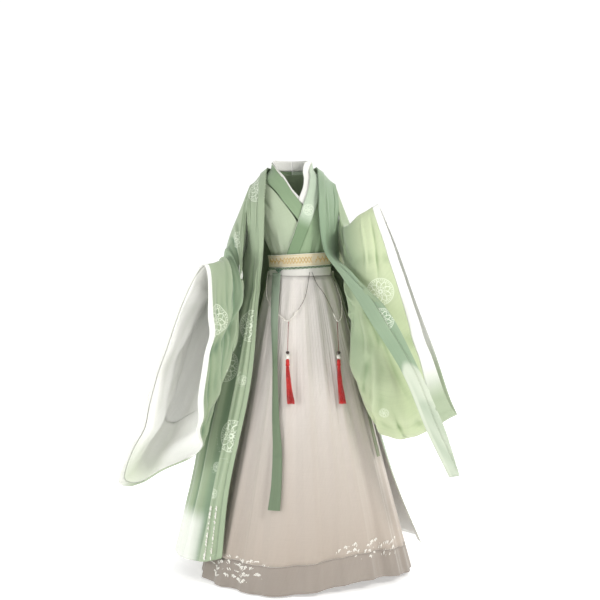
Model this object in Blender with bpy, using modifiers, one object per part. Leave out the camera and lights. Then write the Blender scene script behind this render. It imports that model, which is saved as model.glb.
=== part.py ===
"""A hanfu set as it is worn: an open robe with very wide sleeves, a cross-collar top, a white inner collar,
a gathered skirt, a brocade sash, a ribbon belt with two tails, bead swags and two tassels.

Metres, +Z up, the front faces -Y, and +X is the wearer's left. The origin is the base of the neck, where
the wearer carries the set. Every cloth piece is a thin wall over a smooth surface, and each surface is a
function of its own width and length, so that bands, borders and linings can lie on it.
"""

from math import cos, exp, pi, radians, sin

import bmesh
import bpy
from mathutils import Vector

# ---------------------------------------------------------------- driving dimensions
CLOTH = 0.0012              # wall of the light cloth
BAND_WALL = 0.0014          # wall of a doubled band
SEAM = 0.0004               # half the space left between two pieces at a seam
LAYER = 0.0024              # from the middle of one layer to the middle of the next
FIRST_LAYER = 0.0012        # the innermost layer's distance from the figure
SLEEVE_SEAM = 0.008         # share of the sleeve's length left open where it meets the body at an angle

SKIRT_TOP = -0.360          # where the gathers leave the waistband
HEM = -1.392                # lowest line of the skirt
HEM_BAND = 0.090            # depth of the band along the skirt's hem
SKIRT_ROUND = 72            # cloth squares round the skirt
WAIST_ROUND = 36            # cloth squares round the waistband, sash and belt
SASH_TOP = -0.281
SASH_BOTTOM = -0.327
SASH_RISE = 0.005           # the sash sits a little higher on the wearer's left
SASH_WALL = 0.0020
WAISTBAND_TOP = -0.300
BELT_HEIGHT = 0.009         # braided ribbon belt
BELT_WALL = 0.0030
BELT_Z = -0.3325

WAISTBAND_OUT = 0.0155      # how far each layer stands off the figure at the waist
SASH_OUT = 0.0179
BELT_OUT = 0.0184
KNOT_OUT = 0.0272
KNOT_ANGLE = -130           # the knot sits over the top of the front tail
KNOT_DROP = 0.009           # how far its middle lies below the belt's
KNOT_SIZE = (0.0125, 0.0075, 0.0095)
KNOT_PINCH = 0.28           # share by which the knot narrows between its two lobes
KNOT_PINCH_HEIGHT = 0.35
WAIST_CENTRE = 0.03

CUFF_SEAM = 0.925           # where the white cuff border starts along the sleeve
SLEEVE_ROUND = 32           # cloth squares round a sleeve and along it
SLEEVE_ROWS = 8
FRONT_BAND = 0.030          # width of the band along the robe's front edge
ROBE_ACROSS = 8             # cloth squares across a body piece; the first two lie under its band
BAND_SHARE = 2 / ROBE_ACROSS
BAND_OUT = 0.0030           # how far the front band lies off the body piece
LINING_IN = 0.0029          # how far the lining lies inside its sleeve
TAIL_WALL = 0.0016
TAIL_OUT = 0.0078           # how far the tails hang off the skirt
SIDE_SEAM = 0.002           # share of the body piece's width left open at each side
CUFF_GAP = 0.003            # share of the sleeve's length left open before the cuff border
SWAG_OUT = 0.0030
SWAG_STEPS = 24
SWAG_RADIUS = 0.0026
CORD_RADIUS = 0.0016
CORD_TIE = 0.0004           # from the foot of a swag to the middle of the cord's top
STRANDS = 20                # strands in each tassel
STRAND_RADIUS = 0.0010
STRAND_ROOT = 0.002         # how far the strands reach into the head's foot
STRAND_RAGGED = 0.006       # step between the strands' lengths
BUNDLE_FLAT = 0.5           # share by which the bundle flattens towards its end
GOLDEN_TURN = 2.39996       # angle that spreads the strands evenly, in radians
TASSEL_LENGTH = 0.128
TASSEL_SWAY = 0.012         # how far the strands' ends swing to the wearer's left

# ---------------------------------------------------------------- tables
# General figure from hip to neck: height, half width, half depth, centre in x, centre in y
FIGURE = (
    (-0.370, 0.094, 0.080, 0.030, 0.000),
    (-0.300, 0.091, 0.077, 0.027, 0.000),
    (-0.240, 0.106, 0.087, 0.021, 0.000),
    (-0.170, 0.130, 0.098, 0.013, -0.003),
    (-0.110, 0.143, 0.096, 0.007, 0.000),
    (-0.065, 0.137, 0.084, 0.003, 0.003),
    (-0.030, 0.106, 0.071, 0.000, 0.005),
    (0.000, 0.070, 0.062, 0.000, 0.006),
    (0.045, 0.060, 0.056, 0.000, 0.009),
)
# Skirt: height, half width, half depth, centre in x, centre in y, depth of the gathers
SKIRT = (
    (-0.360, 0.1090, 0.0951, 0.0296, 0.000, 0.0006),
    (-0.420, 0.130, 0.114, 0.032, 0.000, 0.0040),
    (-0.560, 0.166, 0.150, 0.036, -0.002, 0.0060),
    (-0.800, 0.222, 0.208, 0.042, -0.010, 0.0080),
    (-1.100, 0.294, 0.280, 0.049, -0.022, 0.0100),
    (-1.396, 0.365, 0.349, 0.056, -0.032, 0.0120),
)
# Gathers of the skirt: waves round it, share of the depth, turn
GATHERS = (
    (20, 0.50, 0.6),
    (13, 0.32, 2.1),
    (8, 0.28, 4.0),
)
# Broad swings of the skirt's hem: angle, half angle, how far it swings out
HEM_SWINGS = (
    (-112, 26, 0.032),
    (-160, 20, 0.018),
    (-66, 24, -0.020),
    (100, 40, 0.015),
)
HEM_LIFT = (-52, 34, 0.028)  # angle, half angle and height of the lifted part of the hem

# Robe body, one row for each level from the front hem over the shoulder to the back hem, and four lines
# across it: front edge or centre back, two inner lines, side seam or armhole
ROBE_RIGHT = (
    ((-0.234, -0.262, -1.300), (-0.300, -0.238, -1.318), (-0.372, -0.160, -1.326), (-0.412, -0.050, -1.326)),
    ((-0.208, -0.225, -1.060), (-0.256, -0.204, -1.064), (-0.316, -0.125, -1.065), (-0.352, -0.015, -1.065)),
    ((-0.142, -0.176, -0.740), (-0.188, -0.158, -0.740), (-0.252, -0.086, -0.740), (-0.294, 0.022, -0.740)),
    ((-0.114, -0.150, -0.460), (-0.138, -0.130, -0.460), (-0.174, -0.076, -0.460), (-0.200, 0.015, -0.460)),
    ((-0.106, -0.138, -0.370), (-0.126, -0.122, -0.370), (-0.152, -0.074, -0.370), (-0.168, 0.006, -0.370)),
    ((-0.098, -0.125, -0.280), (-0.117, -0.110, -0.280), (-0.141, -0.066, -0.280), (-0.154, 0.000, -0.280)),
    ((-0.094, -0.112, -0.150), (-0.114, -0.100, -0.150), (-0.138, -0.082, -0.150), (-0.158, -0.060, -0.155)),
    ((-0.092, -0.092, -0.070), (-0.112, -0.078, -0.075), (-0.135, -0.060, -0.082), (-0.156, -0.042, -0.090)),
    ((-0.086, -0.014, 0.008), (-0.106, -0.008, -0.010), (-0.126, 0.000, -0.028), (-0.146, 0.000, -0.046)),
    ((-0.070, 0.056, 0.012), (-0.100, 0.056, -0.014), (-0.130, 0.052, -0.050), (-0.156, 0.042, -0.090)),
    ((0.000, 0.090, 0.010), (-0.055, 0.100, -0.040), (-0.110, 0.092, -0.100), (-0.159, 0.060, -0.155)),
    ((0.000, 0.128, -0.280), (-0.055, 0.124, -0.280), (-0.114, 0.092, -0.280), (-0.154, 0.000, -0.280)),
    ((0.008, 0.140, -0.370), (-0.060, 0.134, -0.370), (-0.131, 0.097, -0.370), (-0.168, 0.006, -0.370)),
    ((0.015, 0.162, -0.460), (-0.070, 0.152, -0.460), (-0.155, 0.110, -0.460), (-0.200, 0.015, -0.460)),
    ((0.030, 0.245, -0.740), (-0.100, 0.225, -0.740), (-0.230, 0.150, -0.740), (-0.294, 0.022, -0.740)),
    ((0.040, 0.345, -1.065), (-0.150, 0.310, -1.065), (-0.295, 0.180, -1.065), (-0.352, -0.015, -1.065)),
    ((0.045, 0.440, -1.330), (-0.200, 0.390, -1.330), (-0.372, 0.210, -1.328), (-0.412, -0.050, -1.326)),
)
# The left front is blown to the side and folded into a narrow strip in front of the sleeve
ROBE_LEFT = (
    ((0.520, -0.316, -1.014), (0.554, -0.312, -1.008), (0.524, -0.296, -1.004), (0.553, -0.282, -0.998)),
    ((0.443, -0.318, -0.856), (0.503, -0.316, -0.850), (0.450, -0.298, -0.846), (0.500, -0.282, -0.840)),
    ((0.362, -0.316, -0.665), (0.415, -0.314, -0.650), (0.366, -0.296, -0.645), (0.408, -0.280, -0.635)),
    ((0.262, -0.304, -0.505), (0.326, -0.304, -0.480), (0.272, -0.286, -0.468), (0.308, -0.270, -0.450)),
    ((0.176, -0.200, -0.364), (0.208, -0.232, -0.352), (0.194, -0.206, -0.342), (0.166, -0.158, -0.330)),
    ((0.112, -0.122, -0.275), (0.132, -0.116, -0.278), (0.148, -0.068, -0.280), (0.158, 0.000, -0.280)),
    ((0.093, -0.118, -0.150), (0.116, -0.105, -0.150), (0.142, -0.084, -0.150), (0.163, -0.060, -0.155)),
    ((0.092, -0.098, -0.070), (0.114, -0.083, -0.073), (0.138, -0.062, -0.081), (0.160, -0.042, -0.090)),
    ((0.086, -0.014, 0.010), (0.107, -0.008, -0.007), (0.129, 0.000, -0.024), (0.151, 0.000, -0.042)),
    ((0.070, 0.056, 0.012), (0.100, 0.056, -0.014), (0.132, 0.052, -0.048), (0.160, 0.042, -0.090)),
    ((0.000, 0.090, 0.010), (0.055, 0.100, -0.040), (0.112, 0.092, -0.100), (0.164, 0.060, -0.155)),
    ((0.000, 0.128, -0.280), (0.060, 0.124, -0.280), (0.120, 0.092, -0.280), (0.158, 0.000, -0.280)),
    ((0.008, 0.140, -0.370), (0.076, 0.136, -0.370), (0.146, 0.098, -0.370), (0.172, 0.020, -0.370)),
    ((0.015, 0.162, -0.460), (0.095, 0.156, -0.460), (0.172, 0.112, -0.460), (0.194, 0.030, -0.460)),
    ((0.030, 0.245, -0.740), (0.148, 0.232, -0.740), (0.238, 0.158, -0.740), (0.264, 0.050, -0.740)),
    ((0.040, 0.345, -1.065), (0.195, 0.325, -1.065), (0.318, 0.230, -1.065), (0.356, 0.080, -1.065)),
    ((0.045, 0.440, -1.330), (0.250, 0.405, -1.330), (0.412, 0.270, -1.334), (0.468, 0.100, -1.338)),
)
ARMPIT_FRONT, SHOULDER, NECK_BACK, ARMPIT_BACK, LAST_ROW = 5, 8, 10, 11, 16

# Sleeves, a row for each section from the upper arm to the mouth, and ten lines round it: along the arm,
# three down the front layer, heel, middle and corner of the bottom edge, three up the back layer
SLEEVE_RIGHT = (
    ((-0.186, -0.005, -0.155), (-0.176, -0.072, -0.250), (-0.174, -0.102, -0.345), (-0.186, -0.104, -0.425),
     (-0.206, -0.070, -0.475), (-0.228, -0.008, -0.486), (-0.250, 0.042, -0.466), (-0.260, 0.062, -0.400),
     (-0.248, 0.066, -0.320), (-0.224, 0.045, -0.238)),
    ((-0.226, -0.050, -0.292), (-0.176, -0.118, -0.385), (-0.188, -0.140, -0.510), (-0.208, -0.134, -0.610),
     (-0.248, -0.100, -0.690), (-0.322, -0.050, -0.756), (-0.398, -0.004, -0.780), (-0.386, -0.018, -0.680),
     (-0.332, -0.022, -0.535), (-0.270, -0.032, -0.385)),
    ((-0.250, -0.200, -0.306), (-0.236, -0.205, -0.425), (-0.252, -0.206, -0.620), (-0.286, -0.196, -0.815),
     (-0.294, -0.175, -0.912), (-0.400, -0.155, -0.975), (-0.522, -0.135, -1.010), (-0.482, -0.165, -0.875),
     (-0.402, -0.190, -0.630), (-0.318, -0.220, -0.400)),
    ((-0.285, -0.335, -0.312), (-0.272, -0.312, -0.430), (-0.290, -0.292, -0.626), (-0.322, -0.272, -0.843),
     (-0.306, -0.252, -0.930), (-0.418, -0.240, -0.995), (-0.580, -0.225, -1.055), (-0.526, -0.270, -0.893),
     (-0.440, -0.315, -0.640), (-0.352, -0.352, -0.400)),
)
SLEEVE_LEFT = (
    ((0.174, -0.040, -0.172), (0.179, -0.100, -0.262), (0.190, -0.128, -0.370), (0.200, -0.122, -0.470),
     (0.214, -0.084, -0.540), (0.242, -0.010, -0.560), (0.246, 0.040, -0.540), (0.254, 0.070, -0.450),
     (0.252, 0.075, -0.350), (0.228, 0.035, -0.240)),
    ((0.190, -0.105, -0.188), (0.196, -0.172, -0.292), (0.200, -0.188, -0.450), (0.210, -0.190, -0.630),
     (0.236, -0.172, -0.765), (0.268, -0.120, -0.825), (0.280, -0.060, -0.790), (0.280, 0.000, -0.640),
     (0.270, 0.022, -0.450), (0.244, -0.020, -0.290)),
    ((0.228, -0.165, -0.150), (0.250, -0.222, -0.272), (0.288, -0.238, -0.440), (0.328, -0.238, -0.640),
     (0.352, -0.212, -0.840), (0.374, -0.160, -0.915), (0.384, -0.095, -0.880), (0.376, -0.030, -0.680),
     (0.340, -0.010, -0.460), (0.292, -0.060, -0.270)),
    ((0.288, -0.220, -0.112), (0.344, -0.224, -0.262), (0.405, -0.216, -0.440), (0.470, -0.198, -0.620),
     (0.524, -0.172, -0.765), (0.568, -0.130, -0.835), (0.545, -0.085, -0.775), (0.494, -0.075, -0.620),
     (0.424, -0.090, -0.436), (0.350, -0.145, -0.240)),
)
# Largest folds: place across, drift along, half width, depth, from, to (all but the depth as shares)
FOLDS_SLEEVE_RIGHT = (
    (0.13, 0.03, 0.022, 0.012, 0.25, 1.00),
    (0.19, 0.00, 0.020, -0.012, 0.20, 0.95),
    (0.27, 0.02, 0.024, 0.013, 0.30, 1.00),
    (0.35, 0.00, 0.022, -0.010, 0.35, 0.95),
    (0.55, 0.01, 0.026, 0.012, 0.40, 1.00),
    (0.70, 0.02, 0.024, -0.014, 0.45, 1.00),
    (0.79, 0.00, 0.022, 0.012, 0.30, 0.98),
    (0.88, 0.02, 0.022, -0.011, 0.15, 0.95),
)
FOLDS_SLEEVE_LEFT = (
    (0.10, 0.02, 0.022, -0.010, 0.20, 1.00),
    (0.17, 0.03, 0.020, 0.011, 0.15, 0.95),
    (0.25, 0.02, 0.024, -0.012, 0.20, 1.00),
    (0.33, 0.01, 0.022, 0.011, 0.30, 0.90),
    (0.42, 0.02, 0.022, -0.009, 0.45, 1.00),
    (0.60, 0.00, 0.024, 0.011, 0.35, 0.95),
    (0.72, 0.01, 0.024, -0.012, 0.30, 0.95),
    (0.84, 0.02, 0.022, 0.010, 0.20, 0.95),
)
FOLDS_ROBE_RIGHT = (
    (0.22, 0.00, 0.060, 0.008, 0.00, 0.34),
    (0.50, 0.00, 0.070, -0.010, 0.00, 0.32),
    (0.78, 0.00, 0.070, 0.009, 0.00, 0.30),
    (0.20, 0.00, 0.060, 0.010, 0.68, 1.00),
    (0.45, 0.02, 0.065, -0.010, 0.66, 1.00),
    (0.72, 0.00, 0.065, 0.011, 0.70, 1.00),
)
FOLDS_ROBE_LEFT = (
    (0.16, 0.00, 0.060, -0.009, 0.68, 1.00),
    (0.38, 0.02, 0.065, 0.011, 0.66, 1.00),
    (0.62, 0.00, 0.060, -0.010, 0.70, 1.00),
    (0.84, 0.00, 0.060, 0.009, 0.70, 1.00),
)

# Top, a row for each height: height, angle of the inner edge, angle of the side or armhole edge
TOP_RIGHT = (
    (-0.008, 186, 181),
    (-0.030, 207, 181),
    (-0.060, 238, 184),
    (-0.100, 254, 206),
    (-0.150, 267, 209),
    (-0.200, 277, 197),
    (-0.250, 283, 182),
    (-0.292, 286, 180.2),
    (-0.335, 288, 180.2),
)
TOP_LEFT = (
    (-0.008, -6, -1),
    (-0.030, -27, -1),
    (-0.060, -44, -4),
    (-0.100, -56, -26),
    (-0.150, -68, -29),
    (-0.200, -80, -17),
    (-0.250, -94, -2),
    (-0.292, -103, -0.2),
    (-0.335, -112, -0.2),
)
TOP_BACK = (
    (-0.008, 1, 179),
    (-0.030, 1, 179),
    (-0.060, 4, 176),
    (-0.100, 26, 154),
    (-0.150, 29, 151),
    (-0.200, 17, 163),
    (-0.250, 2, 178),
    (-0.292, 0.2, 179.8),
    (-0.335, 0.2, 179.8),
)
# Collar bands: inner edge's angle and height, then the outer edge's
COLLAR_RIGHT = (
    (90.3, 0.034, 90.3, -0.012),
    (125, 0.035, 125, -0.014),
    (160, 0.034, 160, -0.016),
    (200, 0.024, 198, -0.016),
    (228, 0.000, 216, -0.030),
    (256, -0.030, 243, -0.064),
    (271, -0.080, 257, -0.108),
    (282, -0.120, 272, -0.160),
    (290, -0.150, 281, -0.185),
)
COLLAR_LEFT = (
    (89.7, 0.034, 89.7, -0.012),
    (55, 0.035, 55, -0.014),
    (20, 0.034, 20, -0.016),
    (-18, 0.026, -18, -0.018),
    (-46, -0.010, -35, -0.036),
    (-63, -0.045, -49, -0.072),
    (-76, -0.105, -60, -0.124),
    (-85, -0.163, -69, -0.180),
    (-98, -0.225, -80, -0.238),
    (-113, -0.277, -93, -0.292),
    (-124, -0.318, -102, -0.330),
)
INNER_RIGHT = (
    (90.3, 0.040, 90.3, 0.004),
    (125, 0.041, 125, 0.004),
    (160, 0.040, 160, 0.004),
    (198, 0.030, 196, 0.000),
    (226, 0.006, 217, -0.018),
    (256, -0.022, 246, -0.050),
    (271, -0.068, 260, -0.094),
    (280, -0.095, 271, -0.126),
)
INNER_LEFT = (
    (89.7, 0.040, 89.7, 0.004),
    (55, 0.041, 55, 0.004),
    (20, 0.041, 20, 0.004),
    (-20, 0.040, -20, 0.004),
    (-48, 0.030, -46, -0.014),
    (-62, -0.008, -57, -0.044),
    (-77, -0.066, -66, -0.086),
    (-84, -0.100, -74, -0.122),
)
# Ribbon tails: height, left edge and right edge in x
TAIL_FRONT = (
    (-0.3501, -0.060, -0.034),
    (-0.500, -0.063, -0.040),
    (-0.655, -0.057, -0.041),
    (-0.830, -0.056, -0.034),
    (-0.930, -0.053, -0.025),
    (-1.040, -0.056, -0.025),
    (-1.123, -0.065, -0.029),
)
# Side tail: height, angle round the skirt, width
TAIL_SIDE = (
    (-0.350, -14, 0.018),
    (-0.420, -15, 0.020),
    (-0.560, -18, 0.021),
    (-0.700, -22, 0.022),
    (-0.850, -25, 0.022),
    (-0.978, -26, 0.023),
)
# Bead swags: place in x on the front of the skirt, and height
SWAG_RIGHT = (
    (0.060, -0.347),
    (0.046, -0.425),
    (0.025, -0.468),
    (-0.009, -0.510),
    (-0.036, -0.494),
    (-0.061, -0.472),
    (-0.080, -0.432),
    (-0.082, -0.390),
    (-0.078, -0.347),
)
SWAG_LEFT = (
    (0.068, -0.347),
    (0.084, -0.388),
    (0.106, -0.420),
    (0.130, -0.470),
    (0.150, -0.514),
    (0.164, -0.496),
    (0.163, -0.450),
    (0.150, -0.400),
    (0.138, -0.347),
)
# Lowest points of the swags, where the tassels' cords are tied
TASSEL_RIGHT_AT = (-0.009, -0.510)
TASSEL_LEFT_AT = (0.150, -0.514)
TASSEL_OUT = 0.0105         # how far the tassels hang off the skirt
TASSEL_LEAN = 0.30          # they lie down the slope of the skirt
TASSEL_DROP = 0.098         # cord from the swag down to the dark bead
# Turned profiles from the top down: radius, depth
DARK_BEAD = ((0.0022, 0.000), (0.0052, 0.002), (0.0062, 0.0055), (0.0052, 0.009), (0.0022, 0.011))
WHITE_BEAD = ((0.0022, 0.000), (0.0060, 0.003), (0.0078, 0.0075), (0.0062, 0.012), (0.0026, 0.015))
TASSEL_HEAD = ((0.0020, 0.000), (0.0050, 0.002), (0.0064, 0.006), (0.0056, 0.012), (0.0072, 0.020))

# Bundle of strands: share of the length, radius
STRAND_BUNDLE = (
    (0, 0.0058),
    (0.45, 0.0085),
    (1, 0.0125),
)

# Colours: red, green, blue, roughness
COLOURS = {
    "robe_cloth": (0.42, 0.56, 0.34, 0.75),
    "top_cloth": (0.45, 0.58, 0.38, 0.75),
    "collar_cloth": (0.24, 0.42, 0.25, 0.70),
    "white_cloth": (0.86, 0.86, 0.84, 0.80),
    "skirt_cloth": (0.70, 0.64, 0.56, 0.80),
    "sash_brocade": (0.78, 0.73, 0.58, 0.55),
    "belt_ribbon": (0.20, 0.36, 0.24, 0.60),
    "bead_white": (0.85, 0.83, 0.78, 0.30),
    "bead_dark": (0.06, 0.02, 0.02, 0.30),
    "tassel_silk": (0.70, 0.02, 0.02, 0.60),
}


# ---------------------------------------------------------------- curves and surfaces
def smooth(points, before, after, i, f):
    """Point at share f between points i and i + 1 of a smooth curve, with its neighbours given."""
    a, b = points[i], points[(i + 1) % len(points)]
    slope = (b - before) * f
    bend = (before * 2 - a * 5 + b * 4 - after) * f**2
    twist = (a * 3 - b * 3 + after - before) * f**3
    return (a * 2 + slope + bend + twist) * 0.5


def curve(points, t):
    """Point at t (0 to 1) on an open smooth curve through the points."""
    last = len(points) - 1
    place = min(max(t, 0.0), 1.0) * last
    i = min(int(place), last - 1)
    before = points[i - 1] if i else points[0] * 2 - points[1]
    after = points[i + 2] if i + 2 <= last else points[last] * 2 - points[last - 1]
    return smooth(points, before, after, i, place - i)


def loop(points, t):
    """Point at t (0 to 1) on a closed smooth curve through the points."""
    count = len(points)
    place = (t % 1.0) * count
    i = int(place) % count
    return smooth(points, points[i - 1], points[(i + 2) % count], i, place - int(place))


def vectors(rows):
    return [[Vector(point) for point in row] for row in rows]


def at_height(rows, z):
    """Every value of a table read at the height z, smoothly between its rows; the first column is the height."""
    rows = sorted(rows)
    z = min(max(z, rows[0][0]), rows[-1][0])
    i = max(k for k in range(len(rows) - 1) if rows[k][0] <= z or k == 0)
    low, high = rows[i], rows[i + 1]
    below, above = rows[max(i - 1, 0)], rows[min(i + 2, len(rows) - 1)]
    gap = high[0] - low[0]
    f = (z - low[0]) / gap
    values = []
    for k in range(1, len(low)):
        start = (high[k] - below[k]) / (high[0] - below[0]) * gap
        end = (above[k] - low[k]) / (above[0] - low[0]) * gap
        value = (2 * f**3 - 3 * f**2 + 1) * low[k] + (f**3 - 2 * f**2 + f) * start
        values.append(value + (3 * f**2 - 2 * f**3) * high[k] + (f**3 - f**2) * end)
    return values


def hump(distance, half_width):
    return exp(-((distance / half_width) ** 2))


def raised(surface, height, out=1):
    """The surface moved out along its normal; height is a number or a function of u and v."""
    step = 0.002

    def moved(u, v):
        across = surface(u + step, v) - surface(u - step, v)
        along = surface(u, min(v + step, 1)) - surface(u, max(v - step, 0))
        amount = height(u, v) if callable(height) else height
        return surface(u, v) + across.cross(along).normalized() * amount * out

    return moved


def cut(surface, u0, u1, v0, v1):
    """The part of a surface from u0 to u1 across and v0 to v1 along."""
    return lambda u, v: surface(u0 + (u1 - u0) * u, v0 + (v1 - v0) * v)


def fold_height(folds):
    """Height of soft folds over a surface, from a table of them."""

    def height(u, v):
        total = 0
        for place, drift, half_width, depth, start, end in folds:
            if start < v < end or v == start == 0 or v == end == 1:
                share = (v - start) / (end - start)
                fade_in = 1 if start == 0 else min(share * 4, 1)
                fade_out = 1 if end == 1 else min((1 - share) * 4, 1)
                total += depth * fade_in * fade_out * hump(u - place - drift * share, half_width)
        return total

    return height


# ---------------------------------------------------------------- figure and skirt
def figure(angle, z):
    """Point of the general figure at this angle (-90 is the front) and height."""
    half_width, half_depth, centre_x, centre_y = at_height(FIGURE, z)
    turn = radians(angle)
    return Vector((centre_x + half_width * cos(turn), centre_y + half_depth * sin(turn), z))


def on_figure(angle, z, out):
    """Point that stands off the figure by this much."""
    round_it = figure(angle + 0.5, z) - figure(angle - 0.5, z)
    up = figure(angle, z + 0.001) - figure(angle, z - 0.001)
    return figure(angle, z) + round_it.cross(up).normalized() * out


def between_angles(angle, middle, half_angle):
    away = (angle - middle + 180) % 360 - 180
    return hump(away, half_angle)


def hem_height(angle):
    middle, half_angle, lift = HEM_LIFT
    return HEM + lift * between_angles(angle, middle, half_angle)


def on_skirt(angle, z, out=0.0, gathered=True):
    """Point on the skirt at this angle and height, or standing off it."""
    half_width, half_depth, centre_x, centre_y, depth = at_height(SKIRT, z)
    turn = radians(angle)
    swing = ((SKIRT_TOP - z) / (SKIRT_TOP - HEM)) ** 2
    for middle, half_angle, far in HEM_SWINGS:
        out += far * swing * between_angles(angle, middle, half_angle)
    if gathered:
        out += depth * sum(share * sin(waves * turn + shift) for waves, share, shift in GATHERS)
    else:
        out += depth
    return Vector((centre_x + (half_width + out) * cos(turn), centre_y + (half_depth + out) * sin(turn), z))


def skirt_angle(x, z):
    """Angle at which the front of the skirt passes this x."""
    half_width, _, centre_x, _, _ = at_height(SKIRT, z)
    share = min(max((x - centre_x) / half_width, -1), 1)
    # The front is the half with negative angles, so the angle runs from -180 (right) to 0 (left).
    low, high = -180.0, 0.0
    for _ in range(30):
        middle = (low + high) / 2
        if cos(radians(middle)) < share:
            low = middle
        else:
            high = middle
    return low


def skirt_surface(u, v):
    angle = 360 * u
    return on_skirt(angle, SKIRT_TOP - SEAM + (hem_height(angle) - SKIRT_TOP) * v)


# ---------------------------------------------------------------- robe surfaces
def edge(points, breaks):
    """A line along the robe through its rows, with a corner allowed at each break."""
    stops = [0, *breaks, LAST_ROW]

    def line(v):
        row = min(max(v, 0.0), 1.0) * LAST_ROW
        for start, end in zip(stops, stops[1:]):
            if row <= end:
                return curve(points[start : end + 1], (row - start) / (end - start))

    return line


def robe_body(rows):
    """Surface of one body piece: u from its front edge and centre back to its side, v from hem to hem."""
    columns = list(zip(*vectors(rows)))
    inner = edge(columns[0], (NECK_BACK,))
    outer = edge(columns[3], (ARMPIT_FRONT, ARMPIT_BACK))
    middle = [edge(columns[k], ()) for k in (1, 2)]

    def surface(u, v):
        return curve([inner(v), middle[0](v), middle[1](v), outer(v)], u)

    return surface, outer


def sleeve(rows, armhole):
    """Surface of a sleeve: u round it from the top of the arm down the front, v from armhole to mouth."""
    sections = vectors(rows)
    half = SHOULDER - ARMPIT_FRONT

    def ring(u):
        u %= 1.0
        row = SHOULDER - 2 * half * u if u <= 0.5 else ARMPIT_BACK + half - 2 * half * u
        return armhole(row / LAST_ROW)

    def surface(u, v):
        return curve([ring(u)] + [loop(section, u) for section in sections], v)

    return surface


# ---------------------------------------------------------------- making the objects
def clear_scene():
    for old in list(bpy.data.objects):
        bpy.data.objects.remove(old, do_unlink=True)


def material(name):
    found = bpy.data.materials.get(name)
    if found:
        return found
    red, green, blue, roughness = COLOURS[name]
    made = bpy.data.materials.new(name)
    made.use_nodes = True
    shader = made.node_tree.nodes["Principled BSDF"]
    shader.inputs["Base Color"].default_value = (red, green, blue, 1)
    shader.inputs["Roughness"].default_value = roughness
    return made


def place(name, mesh, colour, collection):
    mesh.shade_smooth()
    obj = bpy.data.objects.new(name, mesh)
    obj.data.materials.append(material(colour))
    collection.objects.link(obj)
    return obj


def even(count):
    return [j / count for j in range(count + 1)]


def cloth(name, surface, across, along, colour, collection, wall=CLOTH, closed=False):
    """A cloth wall over the surface; along is a count of rows or a list of places, closed makes a tube."""
    bm = bmesh.new()
    columns = across if closed else across + 1
    places = even(along) if isinstance(along, int) else along
    grid = [[bm.verts.new(surface(i / across, v)) for i in range(columns)] for v in places]
    for low, high in zip(grid, grid[1:]):
        for i in range(across):
            k = (i + 1) % columns
            # The same diagonal everywhere, so that a band lies evenly on its panel
            bm.faces.new((low[i], low[k], high[k]))
            bm.faces.new((low[i], high[k], high[i]))
    mesh = bpy.data.meshes.new(name)
    bm.to_mesh(mesh)
    bm.free()
    obj = place(name, mesh, colour, collection)
    shell = obj.modifiers.new("wall", "SOLIDIFY")
    shell.thickness = wall
    shell.offset = 0
    return obj


def tube(name, points, radius, colour, collection):
    data = bpy.data.curves.new(name, "CURVE")
    data.dimensions = "3D"
    data.bevel_depth = radius
    data.bevel_resolution = 2
    data.use_fill_caps = True
    line = data.splines.new("POLY")
    line.points.add(len(points) - 1)
    for point, spot in zip(line.points, points):
        point.co = (*spot, 1)
    obj = bpy.data.objects.new(name, data)
    data.materials.append(material(colour))
    collection.objects.link(obj)
    return obj


def down(depth):
    """A step down a tassel, which leans on the skirt."""
    return Vector((0, -TASSEL_LEAN * depth, -depth))


def turned(name, profile, top, colour, collection, sides=14):
    """A closed turned piece from a profile of radius and depth below its top."""
    bm = bmesh.new()
    rings = []
    for radius, depth in profile:
        turns = [2 * pi * k / sides for k in range(sides)]
        centre = top + down(depth)
        rings.append([bm.verts.new(centre + Vector((radius * cos(t), radius * sin(t), 0))) for t in turns])
    for high, low in zip(rings, rings[1:]):
        for k in range(sides):
            n = (k + 1) % sides
            bm.faces.new((high[k], low[k], low[n], high[n]))
    bm.faces.new(rings[0])
    bm.faces.new(rings[-1][::-1])
    bmesh.ops.recalc_face_normals(bm, faces=bm.faces)
    mesh = bpy.data.meshes.new(name)
    bm.to_mesh(mesh)
    bm.free()
    return place(name, mesh, colour, collection)


# ---------------------------------------------------------------- top and collars
def eased(share):
    share = min(max(share, 0), 1)
    return share * share * (3 - 2 * share)


def layer(count):
    return FIRST_LAYER + LAYER * count


def top_panel(rows, edge_layer):
    """Panel of the top: u from its inner edge to its side, v from the shoulder down. Its side lies in
    layer 2; its inner edge rises to the layer given, below the shoulder."""
    lines = [Vector(row) for row in rows]

    def surface(u, v):
        z, inner, side = curve(lines, v)
        rise = (edge_layer - 2) * eased(v / 0.4) * (1 - u)
        return on_figure(inner + (side - inner) * u, z, layer(2 + rise))

    return surface


def collar(rows, start_layer, end_layer):
    """Band on the figure: u from its inner to its outer edge, v from the centre back to the front end."""
    inner = [Vector((angle, z, 0)) for angle, z, _, _ in rows]
    outer = [Vector((angle, z, 0)) for _, _, angle, z in rows]

    def surface(u, v):
        spot = curve(inner, v).lerp(curve(outer, v), u)
        rise = (end_layer - start_layer) * eased((v - 0.2) / 0.35)
        return on_figure(spot.x, spot.y, layer(start_layer + rise))

    return surface


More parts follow.
